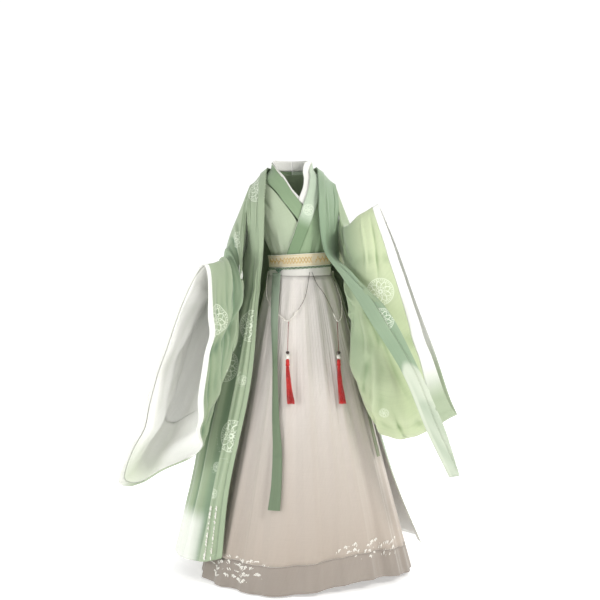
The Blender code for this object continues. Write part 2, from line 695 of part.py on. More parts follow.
def make_top(collection):
    """Layers: inner collars 1.4 and 2.2, panels 2, right band 3, left front 4, left band 5."""
    inner_right, inner_left = collar(INNER_RIGHT, 2.0, 1.4), collar(INNER_LEFT, 2.0, 2.2)
    cloth("inner_collar_right", inner_right, 2, 18, "white_cloth", collection)
    cloth("inner_collar_left", inner_left, 2, 18, "white_cloth", collection)
    cloth("top_back", top_panel(TOP_BACK, 2), 12, 11, "top_cloth", collection)
    cloth("top_front_right", top_panel(TOP_RIGHT, 2), 8, 11, "top_cloth", collection)
    cloth("top_front_left", top_panel(TOP_LEFT, 4), 8, 11, "top_cloth", collection)
    right, left = collar(COLLAR_RIGHT, 3, 3), collar(COLLAR_LEFT, 3, 5)
    cloth("top_collar_right", right, 2, 22, "collar_cloth", collection, BAND_WALL)
    cloth("top_collar_left", left, 2, 26, "collar_cloth", collection, BAND_WALL)


# ---------------------------------------------------------------- waist
def waist_ring(bottom, top, out, rise=0.0):
    def surface(u, v):
        z = bottom + (top - bottom) * v + rise * cos(2 * pi * u)
        return on_figure(360 * u, z, out)

    return surface


def make_waist(collection):
    band = waist_ring(SKIRT_TOP, WAISTBAND_TOP, WAISTBAND_OUT)
    cloth("skirt_waistband", band, WAIST_ROUND, 3, "skirt_cloth", collection, BAND_WALL, closed=True)
    sash = waist_ring(SASH_BOTTOM, SASH_TOP, SASH_OUT, SASH_RISE)
    cloth("waist_sash", sash, WAIST_ROUND, 2, "sash_brocade", collection, SASH_WALL, closed=True)
    low, high = BELT_Z - BELT_HEIGHT / 2, BELT_Z + BELT_HEIGHT / 2
    belt = waist_ring(low, high, BELT_OUT, SASH_RISE)
    cloth("belt_ribbon", belt, WAIST_ROUND, 1, "belt_ribbon", collection, BELT_WALL, closed=True)


# ---------------------------------------------------------------- skirt
def make_skirt(collection):
    split = 1 - HEM_BAND / (SKIRT_TOP - HEM)
    upper = cut(skirt_surface, 0, 1, 0, split)
    cloth("skirt", upper, SKIRT_ROUND, 5, "skirt_cloth", collection, closed=True)
    lower = cut(skirt_surface, 0, 1, split + SEAM * 2, 1)
    cloth("skirt_hem_band", lower, SKIRT_ROUND, 1, "skirt_cloth", collection, closed=True)


# ---------------------------------------------------------------- robe
def robe_rows(first, last):
    """Places along the robe body from one row to another: three to a row round the armhole, else two."""
    steps = []
    for row in range(first, last):
        count = 3 if ARMPIT_FRONT - 2 <= row <= ARMPIT_BACK else 2
        steps += [(row + k / count) / LAST_ROW for k in range(count)]
    return steps + [last / LAST_ROW]


def banded(body):
    """The body piece with its first squares across set to the width of the front band."""

    def surface(s, v):
        marks = [body(k / 6, v) for k in range(7)]
        width = sum((b - a).length for a, b in zip(marks, marks[1:]))
        band = min(FRONT_BAND / width, 0.45)
        inside = s < BAND_SHARE
        u = s / BAND_SHARE * band if inside else band + (s - BAND_SHARE) / (1 - BAND_SHARE) * (1 - band)
        return body(SIDE_SEAM + (1 - 2 * SIDE_SEAM) * u, v)

    return surface


def make_side(side, body_rows, body_folds, sleeve_rows, sleeve_folds, out, lining_from, collection):
    """Body piece, sleeve, cuff border, lining and front band of one side of the robe."""
    plain, armhole = robe_body(body_rows)
    body = raised(plain, fold_height(body_folds), out)
    panel = banded(body)
    cloth(f"robe_body_{side}", panel, ROBE_ACROSS, robe_rows(0, LAST_ROW), "robe_cloth", collection)
    band = cut(raised(panel, BAND_OUT, out), 0, BAND_SHARE, 0, 1)
    cloth(f"robe_front_band_{side}", band, 2, robe_rows(0, NECK_BACK), "robe_cloth", collection)
    whole = raised(sleeve(sleeve_rows, armhole), fold_height(sleeve_folds), out)
    rows = [SLEEVE_SEAM + (CUFF_SEAM - SLEEVE_SEAM) * share for share in even(SLEEVE_ROWS)]
    cloth(f"sleeve_{side}", whole, SLEEVE_ROUND, rows, "robe_cloth", collection, closed=True)
    border = cut(whole, 0, 1, CUFF_SEAM + CUFF_GAP, 1)
    cloth(f"cuff_border_{side}", border, SLEEVE_ROUND, 1, "white_cloth", collection, closed=True)
    lining = raised(whole, LINING_IN, -out)
    cloth(f"sleeve_lining_{side}", lining, SLEEVE_ROUND, rows[lining_from:], "white_cloth", collection, closed=True)


def make_robe(collection):
    make_side("right", ROBE_RIGHT, FOLDS_ROBE_RIGHT, SLEEVE_RIGHT, FOLDS_SLEEVE_RIGHT, -1, 5, collection)
    make_side("left", ROBE_LEFT, FOLDS_ROBE_LEFT, SLEEVE_LEFT, FOLDS_SLEEVE_LEFT, 1, 6, collection)


# ---------------------------------------------------------------- belt tails, swags and tassels
def make_tails(collection):
    rows = [Vector(row) for row in TAIL_FRONT]

    def front(u, v):
        z, left, right = curve(rows, v)
        x = left + (right - left) * u
        return on_skirt(skirt_angle(x, z), z, TAIL_OUT, gathered=False)

    cloth("belt_tail_front", front, 2, 20, "belt_ribbon", collection, TAIL_WALL)
    side_rows = [Vector(row) for row in TAIL_SIDE]

    def side(u, v):
        z, angle, width = curve(side_rows, v)
        half_width = at_height(SKIRT, z)[0]
        spread = width / half_width * 180 / pi
        return on_skirt(angle + spread * (u - 0.5), z, TAIL_OUT, gathered=False)

    cloth("belt_tail_side", side, 2, 16, "belt_ribbon", collection, TAIL_WALL)


def swag_points(rows, out):
    points = []
    for share in even(SWAG_STEPS):
        spot = curve([Vector((x, z, 0)) for x, z in rows], share)
        points.append(on_skirt(skirt_angle(spot.x, spot.y), spot.y, out, gathered=False))
    return points


def make_tassel(side, at, collection):
    x, z = at
    top = on_skirt(skirt_angle(x, z), z, SWAG_OUT, gathered=False)
    bottom = on_skirt(skirt_angle(x, z - TASSEL_DROP), z - TASSEL_DROP, TASSEL_OUT, gathered=False)
    top.z -= SWAG_RADIUS + CORD_TIE
    points = [top.lerp(bottom, k / 6) for k in range(7)]
    tube(f"tassel_cord_{side}", points, CORD_RADIUS, "tassel_silk", collection)
    head = points[-1] + down(SEAM * 3)
    turned(f"tassel_bead_{side}", DARK_BEAD, head, "bead_dark", collection)
    head = head + down(DARK_BEAD[-1][1] + SEAM)
    turned(f"tassel_jade_{side}", WHITE_BEAD, head, "bead_white", collection)
    head = head + down(WHITE_BEAD[-1][1] + SEAM)
    make_strands(side, head, collection)


def make_strands(side, top, collection):
    """Head of the tassel with its strands fused into its foot."""
    obj = turned(f"tassel_{side}", TASSEL_HEAD, top, "tassel_silk", collection, sides=18)
    root = top + down(TASSEL_HEAD[-1][1] - STRAND_ROOT)
    bm = bmesh.new()
    for k in range(STRANDS):
        turn = k * GOLDEN_TURN
        reach = (k + 0.5) ** 0.5 / STRANDS**0.5
        rings = []
        for share, radius in STRAND_BUNDLE:
            spot = Vector((cos(turn), sin(turn), 0)) * radius * reach
            # The strands lie down the slope of the skirt, in a flattened bundle.
            spot.y *= 1 - BUNDLE_FLAT * share
            spot.x += TASSEL_SWAY * share**1.5
            spot += down(share * (TASSEL_LENGTH - STRAND_RAGGED * (k % 3)))
            corners = [turn + 2 * pi * n / 3 for n in range(3)]
            rings.append([bm.verts.new(root + spot + Vector((cos(c), sin(c), 0)) * STRAND_RADIUS) for c in corners])
        for high, low in zip(rings, rings[1:]):
            for n in range(3):
                m = (n + 1) % 3
                bm.faces.new((high[n], low[n], low[m], high[m]))
        bm.faces.new(rings[0])
        bm.faces.new(rings[-1][::-1])
    bmesh.ops.recalc_face_normals(bm, faces=bm.faces)
    mesh = bpy.data.meshes.new(f"strands_{side}")
    bm.to_mesh(mesh)
    bm.free()
    strands = bpy.data.objects.new(f"strands_{side}", mesh)
    strands.hide_render = True
    strands.display_type = "WIRE"
    helper_collection().objects.link(strands)
    join = obj.modifiers.new("strands", "BOOLEAN")
    join.operation = "UNION"
    join.use_self = True
    join.object = strands


def helper_collection():
    found = bpy.data.collections.get("helpers")
    if not found:
        found = bpy.data.collections.new("helpers")
        bpy.context.scene.collection.children.link(found)
    return found


def make_knot(collection):
    """Knot of the ribbon belt, over the top of the front tail."""
    centre = on_figure(KNOT_ANGLE, BELT_Z - KNOT_DROP, KNOT_OUT)
    bm = bmesh.new()
    bmesh.ops.create_uvsphere(bm, u_segments=14, v_segments=8, radius=1)
    for vertex in bm.verts:
        height = vertex.co.z
        vertex.co *= Vector(KNOT_SIZE)
        # Two lobes, one over the other, as a tied ribbon makes
        vertex.co.x *= 1 - KNOT_PINCH * hump(height, KNOT_PINCH_HEIGHT)
    bmesh.ops.rotate(bm, verts=bm.verts, matrix=Vector((0, -1, 0)).rotation_difference(
        Vector((centre.x - WAIST_CENTRE, centre.y, 0)).normalized()).to_matrix())
    bmesh.ops.translate(bm, verts=bm.verts, vec=centre)
    mesh = bpy.data.meshes.new("belt_knot")
    bm.to_mesh(mesh)
    bm.free()
    place("belt_knot", mesh, "belt_ribbon", collection)


def make_trims(collection):
    make_knot(collection)
    make_tails(collection)
    tube("bead_swag_right", swag_points(SWAG_RIGHT, SWAG_OUT), SWAG_RADIUS, "bead_white", collection)
    tube("bead_swag_left", swag_points(SWAG_LEFT, SWAG_OUT), SWAG_RADIUS, "bead_white", collection)
    make_tassel("right", TASSEL_RIGHT_AT, collection)
    make_tassel("left", TASSEL_LEFT_AT, collection)


def main():
    clear_scene()
    collection = bpy.data.collections.new("hanfu_robe_set")
    bpy.context.scene.collection.children.link(collection)
    make_top(collection)
    make_waist(collection)
    make_skirt(collection)
    make_robe(collection)
    make_trims(collection)


main()
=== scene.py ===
# %% [markdown]
# A hanfu set as it is worn, built as a lesson in cells. The set is an open robe with very wide sleeves, a
# cross-collar top with a white inner collar, a gathered skirt, a brocade sash, a braided ribbon belt with
# two tails, bead swags and two tassels. Nobody wears it here: the cloth keeps the hollow form that it has
# on a general figure. Everything is in metres, the front faces -Y, and the origin is the base of the neck.

# %% Load the measured model that every piece is fitted to
from functools import partial, reduce
from math import pi, radians

import bmesh
import bpy
import numpy as np
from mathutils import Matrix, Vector


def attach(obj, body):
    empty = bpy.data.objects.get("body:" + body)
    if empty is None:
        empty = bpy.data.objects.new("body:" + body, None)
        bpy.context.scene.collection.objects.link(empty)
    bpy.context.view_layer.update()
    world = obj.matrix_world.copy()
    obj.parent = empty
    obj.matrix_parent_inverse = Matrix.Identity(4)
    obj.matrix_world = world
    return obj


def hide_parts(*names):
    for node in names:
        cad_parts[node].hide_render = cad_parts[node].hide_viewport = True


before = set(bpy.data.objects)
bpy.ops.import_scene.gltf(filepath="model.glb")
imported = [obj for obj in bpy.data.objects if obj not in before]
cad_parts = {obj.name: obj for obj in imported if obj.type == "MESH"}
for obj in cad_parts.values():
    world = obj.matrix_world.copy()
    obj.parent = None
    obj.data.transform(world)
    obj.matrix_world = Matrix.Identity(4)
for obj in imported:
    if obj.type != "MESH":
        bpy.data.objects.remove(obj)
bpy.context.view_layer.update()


# %% [markdown]
# The camera comes first, because everything else is judged through it. It stands 4.5 m in front at chest
# height and looks a little down with a long lens, which keeps the wide sleeves from looking larger than
# the skirt. A lens of 77 mm on a 36 mm wide sensor gives that narrow view.

# %% Camera
camera_data = bpy.data.cameras.new("camera")
camera_data.lens = 76.92
camera_data.sensor_width = 36
camera = bpy.data.objects.new("camera", camera_data)
camera.location = (0.028, -4.5, -0.16)
camera.rotation_euler = (radians(86.34), 0, 0)
bpy.context.scene.collection.objects.link(camera)
bpy.context.scene.camera = camera
print("camera at", tuple(round(x, 2) for x in camera.location))

# %% [markdown]
# The stage is plain: a white floor just under the hem, and a sky that is white behind the set and dimmer in
# front of it, so that light comes round the sides and draws every fold. One warm lamp stands high on the
# right, and a weak one on the left looks into the open sleeve. The set hangs clear of the floor.

# %% Stage and light
FLOOR = -1.3965  # just under the hem
floor_data = bpy.data.meshes.new("floor")
floor_corners = [(x, y, FLOOR) for x, y in ((-30, -12), (30, -12), (30, 45), (-30, 45))]
floor_data.from_pydata(floor_corners, [], [(0, 1, 2, 3)])
floor = bpy.data.objects.new("floor", floor_data)
bpy.context.scene.collection.objects.link(floor)
floor_paint = bpy.data.materials.new("floor_paint")
floor_paint.use_nodes = True
paint = floor_paint.node_tree.nodes["Principled BSDF"].inputs
paint["Base Color"].default_value = (0.90, 0.90, 0.89, 1)
paint["Roughness"].default_value = 0.9
paint["Emission Color"].default_value = (1, 1, 1, 1)
paint["Emission Strength"].default_value = 0.42
floor_data.materials.append(floor_paint)

world = bpy.data.worlds.new("studio")
world.use_nodes = True
sky = world.node_tree.nodes
towards = sky.new("ShaderNodeTexCoord")
split_sky = sky.new("ShaderNodeSeparateXYZ")
to_light = sky.new("ShaderNodeMapRange")
for socket, value in {"From Min": -0.7, "From Max": 0.6, "To Min": 0.45, "To Max": 1.06}.items():
    to_light.inputs[socket].default_value = value
world.node_tree.links.new(towards.outputs["Generated"], split_sky.inputs[0])
world.node_tree.links.new(split_sky.outputs["Y"], to_light.inputs["Value"])
world.node_tree.links.new(to_light.outputs[0], sky["Background"].inputs["Strength"])
sky["Background"].inputs["Color"].default_value = (1, 1, 1, 1)
bpy.context.scene.world = world
bpy.context.scene.view_settings.view_transform = "Standard"

LAMPS = (  # name, place, size, watts, colour
    ("key", (2.9, -2.2, 1.5), 0.9, 80, (1.0, 0.98, 0.95)),
    ("fill", (-1.9, -1.7, -0.5), 0.9, 20, (0.98, 0.99, 1.0)),
    ("back", (1.2, 3.2, 1.8), 1.8, 25, (1.0, 0.98, 0.94)),
)
MIDDLE = Vector((0.02, 0, -0.6))  # the lamps look at the middle of the set
for lamp_name, spot, size, watts, colour in LAMPS:
    lamp_data = bpy.data.lights.new(lamp_name, "AREA")
    lamp_data.size, lamp_data.energy, lamp_data.color = size, watts, colour
    lamp = bpy.data.objects.new(lamp_name, lamp_data)
    lamp.location = spot
    lamp.rotation_euler = (MIDDLE - lamp.location).to_track_quat("-Z", "Y").to_euler()
    bpy.context.scene.collection.objects.link(lamp)
print("lamps:", [row[0] for row in LAMPS])

# %% [markdown]
# Every cloth piece starts as a smooth surface: a function that takes shares across (u) and along (v) and
# gives points. Such a surface has no thickness or facets yet, so a band, a border or a lining can be laid
# on it exactly. The functions work on whole lists of points at once, which is much quicker than one by one.

# %% Smooth lines and surfaces
def smooth_line(points, share, closed=False):
    """Points at the shares (0 to 1) of a smooth line through the points; each point may be a list itself."""
    points, share = np.asarray(points, float), np.asarray(share, float)
    count = len(points)
    if closed:
        place = (share % 1.0) * count
        start = place.astype(int) % count
        turns = [(start + k) % count for k in (-1, 0, 1, 2)]
    else:
        points = np.concatenate([[points[0] * 2 - points[1]], points, [points[-1] * 2 - points[-2]]])
        place = np.clip(share, 0, 1) * (count - 1)
        start = np.minimum(place.astype(int), count - 2)
        turns = [start + k for k in range(4)]
    if points.ndim == 3:
        each = np.arange(len(share))
        a, b, c, d = (points[turn, each] for turn in turns)
    else:
        a, b, c, d = (points[turn] for turn in turns)
    f = (place - np.floor(place) if closed else place - start)[:, None]
    return (b * 2 + (c - a) * f + (a * 2 - b * 5 + c * 4 - d) * f**2 + (b * 3 - c * 3 + d - a) * f**3) / 2


def unit(vectors):
    """The same directions with a length of one."""
    return vectors / np.maximum(np.linalg.norm(vectors, axis=1, keepdims=True), 1e-12)


def eased(share):
    """A share that leaves 0 and reaches 1 softly."""
    share = np.clip(share, 0, 1)
    return share * share * (3 - 2 * share)


def hump(distance, half_width):
    """A soft hump, 1 in its middle."""
    return np.exp(-((distance / half_width) ** 2))


def raised(surface, height, out=1):
    """The surface moved out along its normal; height is a number or a function of u and v."""
    step = 0.0015  # share over which the normal is measured

    def moved(u, v):
        across = surface(u + step, v) - surface(u - step, v)
        along = surface(u, np.minimum(v + step, 1)) - surface(u, np.maximum(v - step, 0))
        amount = height(u, v)[:, None] if callable(height) else height
        return surface(u, v) + unit(np.cross(across, along)) * amount * out

    return moved


def cut(surface, u0, u1, v0, v1):
    """The part of a surface from u0 to u1 across and v0 to v1 along."""
    return lambda u, v: surface(u0 + (u1 - u0) * u, v0 + (v1 - v0) * v)


def at_height(rows, z):
    """Every value of a table read at the heights z, smoothly between rows; the first column is the height."""
    rows = np.array(sorted(rows), float)
    z = np.clip(z, rows[0, 0], rows[-1, 0])
    i = np.clip(np.searchsorted(rows[:, 0], z, side="right") - 1, 0, len(rows) - 2)
    low, high = rows[i], rows[i + 1]
    below, above = rows[np.maximum(i - 1, 0)], rows[np.minimum(i + 2, len(rows) - 1)]
    gap = (high[:, 0] - low[:, 0])[:, None]
    f = (z[:, None] - low[:, :1]) / gap
    start = (high - below) / (high[:, :1] - below[:, :1]) * gap
    end = (above - low) / (above[:, :1] - low[:, :1]) * gap
    values = (2 * f**3 - 3 * f**2 + 1) * low + (f**3 - 2 * f**2 + f) * start
    values += (3 * f**2 - 2 * f**3) * high + (f**3 - f**2) * end
    return values[:, 1:].T


print("a smooth line's middle:", smooth_line([(0, 0, 0), (1, 1, 0), (2, 0, 0)], [0.5])[0])

# %% [markdown]
# Folds and creases are what make cloth look like cloth. A soft fold is a row of a table: where it lies,
# how wide and deep it is, and where it starts and stops. A crease is a line between two places on the
# cloth, steep on one side and slack on the other, that dies away at both ends. They are placed by hand,
# because even folds look like corrugated card.

# %% Folds and creases
def fold_height(folds):
    """Height of soft folds: place across, drift along, half width, depth, from, to."""

    def height(u, v):
        total = np.zeros(len(u))
        for place, drift, half_width, depth, start, end in folds:
            share = (v - start) / (end - start)
            fade_in = 1 if start == 0 else np.clip(share * 4, 0, 1)
            fade_out = 1 if end == 1 else np.clip((1 - share) * 4, 0, 1)
            total += depth * fade_in * fade_out * hump(u - place - drift * share, half_width)
        return total

    return height


def crease_height(creases, width, length, closed=False):
    """Height of creases: from u, v, to u, v, how far the line bows, half width and depth in metres."""

    def height(u, v):
        total = np.zeros(len(u))
        for u0, v0, u1, v1, bow, half_width, depth in creases:
            for turn in (-1, 0, 1) if closed else (0,):
                x, y = (u + turn - u0) * width, (v - v0) * length
                dx, dy = (u1 - u0) * width, (v1 - v0) * length
                reach = (dx * dx + dy * dy) ** 0.5
                share = (x * dx + y * dy) / reach**2
                side = (y * dx - x * dy) / reach - bow * 4 * share * (1 - share)
                wide = np.where(side > 0, half_width * 1.7, half_width)
                total += depth * hump(side, wide) * eased(share * 3) * eased((1 - share) * 3)
        return total

    return height


def summed(*heights):
    """Several height functions added up."""
    return lambda u, v: sum(height(u, v) for height in heights)


WAVES = 7


def ripple(width, length, size, depth, seed):
    """Slow uneven waves, as any cloth has that has been folded away: a few sines in chosen directions."""
    rng = np.random.default_rng(seed)
    turns, shifts = rng.uniform(0, pi, WAVES), rng.uniform(0, 2 * pi, WAVES)
    sizes = size * rng.uniform(0.6, 1.7, WAVES)

    def height(u, v):
        x, y = u * width, v * length
        phases = ((x * np.cos(t) + y * np.sin(t)) * 2 * pi / s + f for t, s, f in zip(turns, sizes, shifts))
        return depth * sum(np.sin(phase) for phase in phases) / WAVES**0.5

    return height


print("a hump at its edge:", round(hump(1.0, 1.0), 3))

# %% [markdown]
# A surface becomes a piece here: a grid of squares with its own UV map in metres, so that a weave keeps
# its real size, then a thin wall from the Solidify modifier. The wall stands evenly on both sides of the
# surface, which keeps two neighbours apart. Up to four values ride along on its points for the materials:
# how far it stands out of the cloth round it, how far its dye has faded, where its inside shows its own
# silk and not the lining, and its place on a round mark.

# %% Make a cloth piece
made_of, finish = {}, {}  # the cloth pieces and the materials, by name
NEARBY, FULL_FOLD = 0.011, 0.0032  # how far away a point is compared, and the height that counts as 1


def put_in_scene(name, mesh, replaces=None):
    """An object for the mesh, which rides on the one body and may take the place of a measured piece."""
    piece = bpy.data.objects.new(name, mesh)
    bpy.context.scene.collection.objects.link(piece)
    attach(piece, "root")
    if replaces:
        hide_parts(replaces)
    return piece


def write_values(mesh, label, kind, field, values):
    """Values on the mesh's points, for the materials to read."""
    mesh.attributes.new(label, kind, "POINT").data.foreach_set(field, values.ravel().astype(np.float32))


def fold_share(grid, closed, out):
    """How far each point stands proud of the cloth round it: -1 deep in a fold, 1 on its crest."""
    counts = grid.shape[:2]
    around = np.zeros_like(grid)
    for axis in (0, 1):
        gap = np.linalg.norm(np.diff(grid, axis=axis), axis=2).mean()
        for step in (1, 2, -1, -2):
            place = np.arange(counts[axis]) + step * max(1, round(NEARBY / gap))
            place = place % (counts[1] - 1) if closed and axis else np.clip(place, 0, counts[axis] - 1)
            around += np.take(grid, place, axis=axis) / 8
    normal = np.cross(np.gradient(grid, axis=1), np.gradient(grid, axis=0)) * out
    normal /= np.maximum(np.linalg.norm(normal, axis=2, keepdims=True), 1e-12)
    return np.clip(((grid - around) * normal).sum(axis=2) / FULL_FOLD, -1, 1)


def mark_places(grid, x, y, u, v, marks, front):
    """Places on the round marks in radii, and their leaves; each lies flat on the cloth, or turned to the front."""
    found = np.full(grid.shape, (9.0, 9.0, 0.0))  # nine radii away: on no mark
    normals = np.cross(np.gradient(grid, axis=1), np.gradient(grid, axis=0))
    for mark_u, mark_v, radius, leaves in marks:
        i, j = np.unravel_index(np.argmin((u - mark_u) ** 2 + (v - mark_v) ** 2), u.shape)
        away = grid - grid[i, j]
        beside = (abs(x - x[i, j]) < 3 * radius) & (abs(y - y[i, j]) < 3 * radius)
        near = (np.linalg.norm(away, axis=2) < 1.6 * radius) & beside
        facing = unit(normals[near].sum(axis=0)[None])
        facing = unit(facing * (-1 if facing[0, 1] > 0 else 1) + (0, -front, 0))
        level = unit(np.cross([(0, 0, 1)], facing))[0]
        flat = np.stack([away @ level / radius, away @ np.cross(facing[0], level) / radius], axis=2)
        found[near] = np.concatenate([flat[near], np.full((near.sum(), 1), leaves)], axis=1)
    return found


def cloth(name, surface, across, along, wall, slot, material, replaces=None, closed=False, out=1,
          lining=None, fade=None, marks=(), marks_front=0, turned_back=None):
    """A cloth piece over the surface; out is the side that shows, and lining the finish of the other one."""
    places, columns_at = (np.linspace(0, 1, k + 1) if isinstance(k, int) else k for k in (along, across))
    across = len(columns_at) - 1
    u, v = np.meshgrid(columns_at, places)
    grid = surface(u.ravel(), v.ravel()).reshape(len(places), across + 1, 3)
    wide = np.linalg.norm(np.diff(grid, axis=1), axis=2)
    deep = np.linalg.norm(np.diff(grid, axis=0), axis=2)
    x = np.concatenate([np.zeros((len(places), 1)), np.cumsum(wide, axis=1)], axis=1)
    x -= x[:, -1:] / 2
    y = np.concatenate([np.zeros((1, across + 1)), np.cumsum(deep, axis=0)])
    columns = across if closed else across + 1
    index = np.arange(len(places) * columns).reshape(len(places), columns)
    i, j = np.meshgrid(np.arange(len(places) - 1), np.arange(across), indexing="ij")
    i, j = i.ravel(), j.ravel()
    corners = [(i, j), (i, j + 1), (i + 1, j + 1), (i + 1, j)]
    faces = np.stack([index[a, b % columns] for a, b in corners], axis=1)
    if out < 0:
        corners, faces = corners[::-1], faces[:, ::-1]
    mesh = bpy.data.meshes.new(name)
    mesh.from_pydata(grid[:, :columns].reshape(-1, 3).tolist(), [], faces.tolist())
    uv = mesh.uv_layers.new(name="cloth")
    places_uv = np.stack([np.stack([x[a, b], y[a, b]], axis=1) for a, b in corners], axis=1)
    uv.data.foreach_set("uv", places_uv.ravel().astype(np.float32))
    shares = {"fold": fold_share(grid, closed, out)}
    if fade:
        shares["fade"] = np.clip(fade(u, v), 0, 1)
    if turned_back:
        shares["turned_back"] = turned_back(u, v)
    for label, values in shares.items():
        write_values(mesh, label, "FLOAT", "value", values[:, :columns])
    if marks:
        places_on_marks = mark_places(grid, x, y, u, v, marks, marks_front)[:, :columns]
        write_values(mesh, "mark", "FLOAT_VECTOR", "vector", places_on_marks)
    mesh.shade_smooth()
    mesh.materials.append(finish[material])
    piece = put_in_scene(name, mesh, replaces)
    shell = piece.modifiers.new("wall", "SOLIDIFY")
    shell.thickness, shell.offset = wall, 0
    if lining:
        mesh.materials.append(finish[lining])
        shell.material_offset = 1
    size = (float(wide.sum(axis=1).max()), float(deep.sum(axis=0).max()))
    a, b = np.diff(grid, axis=1)[:-1], np.diff(grid, axis=0)[:, :-1]
    area = float(np.linalg.norm(np.cross(a, b), axis=2).sum())
    made_of[name] = (piece, size, area)
    print(f"{name}: {size[0]:.2f} by {size[1]:.2f} m, {area:.3f} m2 of cloth")

# %% [markdown]
# The materials come next. Thin silk and cotton show their weave only close up, so the weave is a fine
# bump and a slight change of tone, drawn on the UV map in metres. From further off one sees uneven dye,
# a soft sheen at the edges and paler worn places. Each effect is a node group that is built once, and
# each cloth uses it with its own sizes and colours.

# %% Helpers for node groups
def node(tree, kind, inputs=None, **settings):
    """A new node with its inputs linked or set."""
    made = tree.nodes.new(kind)
    for key, value in settings.items():
        setattr(made, key, value)
    for key, value in (inputs or {}).items():
        if isinstance(value, bpy.types.NodeSocket):
            tree.links.new(value, made.inputs[key])
        else:
            made.inputs[key].default_value = value
    return made


def maths(tree, operation, first, second=0.0, third=None):
    """One step of arithmetic."""
    inputs = {0: first, 1: second}
    if third is not None:
        inputs[2] = third
    return node(tree, "ShaderNodeMath", inputs, operation=operation).outputs[0]


def blend(tree, share, first, second):
    """One colour into the other by a mask."""
    return node(tree, "ShaderNodeMix", {0: share, 6: first, 7: second}, data_type="RGBA").outputs[2]


def tools(tree):
    """Short forms of node and maths for one tree."""
    return partial(node, tree), partial(maths, tree)


def group(name, inputs, outputs, kind="ShaderNodeTree"):
    """An empty group, its inputs and its outputs; an input is named with its usual number or its kind."""
    tree = bpy.data.node_groups.new(name, kind)
    for label, value in inputs.items():
        is_kind = isinstance(value, str)
        socket_kind = value if is_kind else "Int" if isinstance(value, int) else "Float"
        socket = tree.interface.new_socket(label, in_out="INPUT", socket_type=f"NodeSocket{socket_kind}")
        if not is_kind:
            socket.default_value = value
    for label, socket_kind in outputs.items():
        tree.interface.new_socket(label, in_out="OUTPUT", socket_type=f"NodeSocket{socket_kind}")
    return tree, tree.nodes.new("NodeGroupInput").outputs, tree.nodes.new("NodeGroupOutput").inputs

# %% Weave
weave_inputs = {"Place": "Vector", "Threads": 1500.0, "Slub": 0.35, "Twill": 0.0}
weave, given, result = group("weave", weave_inputs, {"Height": "Float", "Tone": "Float"})
make, work = tools(weave)
parts = make("ShaderNodeSeparateXYZ", {0: given["Place"]}).outputs
warp_place, weft_place = (work("MULTIPLY", parts[k], given["Threads"]) for k in (0, 1))
shifted = work("MULTIPLY_ADD", weft_place, given["Twill"], warp_place)
warp, weft = (work("ABSOLUTE", work("SINE", work("MULTIPLY", place, pi))) for place in (shifted, weft_place))
squares = make("ShaderNodeCombineXYZ", {0: shifted, 1: weft_place}).outputs[0]
over = make("ShaderNodeTexChecker", {0: squares, 3: 1.0})
crossing = make("ShaderNodeMix", {0: over.outputs[1], 2: warp, 3: weft}).outputs[0]
slub_ways = []
for stretch in ((900.0, 14.0, 1.0), (14.0, 900.0, 1.0)):
    stretched = make("ShaderNodeMapping", {0: given["Place"], 3: stretch}).outputs[0]
    slub_ways.append(make("ShaderNodeTexNoise", {"Vector": stretched, "Scale": 1.0, "Detail": 2.0}).outputs[0])
slubs = work("MULTIPLY", work("ADD", *slub_ways), 0.5)
mixed = work("MULTIPLY_ADD", work("SUBTRACT", slubs, crossing), given["Slub"], crossing)
weave.links.new(mixed, result["Height"])
weave.links.new(slubs, result["Tone"])

# %% Uneven dye
dye_inputs = {"Place": "Vector", "Light": "Color", "Middle": "Color", "Deep": "Color",
              "Patch": 2.2, "Streak": 0.12, "Fold": 0.0, "Depth": 0.6}
uneven_dye, given, result = group("uneven_dye", dye_inputs, {"Color": "Color"})
make, work = tools(uneven_dye)
patch_values = {"Vector": given["Place"], "Scale": given["Patch"], "Detail": 3.0, "Roughness": 0.45}
patches = make("ShaderNodeTexNoise", patch_values).outputs[0]
spread = make("ShaderNodeMapRange", {"Value": patches, "From Min": 0.30, "From Max": 0.72}).outputs[0]
streak_place = make("ShaderNodeMapping", {0: given["Place"], 3: (140.0, 1.2, 1.0)}).outputs[0]
streaks = make("ShaderNodeTexNoise", {"Vector": streak_place, "Scale": 1.0, "Detail": 3.0}).outputs[0]
streak_mask = make("ShaderNodeMapRange", {"Value": streaks, "From Min": 0.45, "From Max": 0.75}).outputs[0]
base = blend(uneven_dye, spread, given["Middle"], given["Light"])
streaked = blend(uneven_dye, work("MULTIPLY", streak_mask, given["Streak"]), base, given["Deep"])
into_fold = work("MAXIMUM", work("MULTIPLY", given["Fold"], -1.0), 0.0)
valley = work("MULTIPLY", into_fold, given["Depth"])
crest = work("MULTIPLY", work("MAXIMUM", given["Fold"], 0.0), given["Depth"])
folded = blend(uneven_dye, crest, blend(uneven_dye, valley, streaked, given["Deep"]), given["Light"])
uneven_dye.links.new(folded, result["Color"])

# %% [markdown]
# The round marks on the robe are a very old kind of woven figure: a double ring round a rosette of curling
# leaves. A real one is woven or printed into the cloth, flat and a little paler than the ground. So this
# one is drawn in polar coordinates by a group that takes the place on the mark in radii. Rings come from
# the distance to its centre, and leaves from a wave whose phase turns with that distance.

# %% Woven roundel
roundel, given, result = group("roundel", {"Place": "Vector"}, {"Mask": "Float"})
make, work = tools(roundel)
parts = make("ShaderNodeSeparateXYZ", {0: given["Place"]}).outputs
reach = work("SQRT", work("MULTIPLY_ADD", parts[0], parts[0], work("MULTIPLY", parts[1], parts[1])))
turn = work("ARCTAN2", parts[1], parts[0])
leaf_count = work("ROUND", parts[2])


def ring(middle, half_width):
    """A plain ring: 1 where the distance to the centre is close to the middle."""
    return work("LESS_THAN", work("ABSOLUTE", work("SUBTRACT", reach, middle)), half_width)


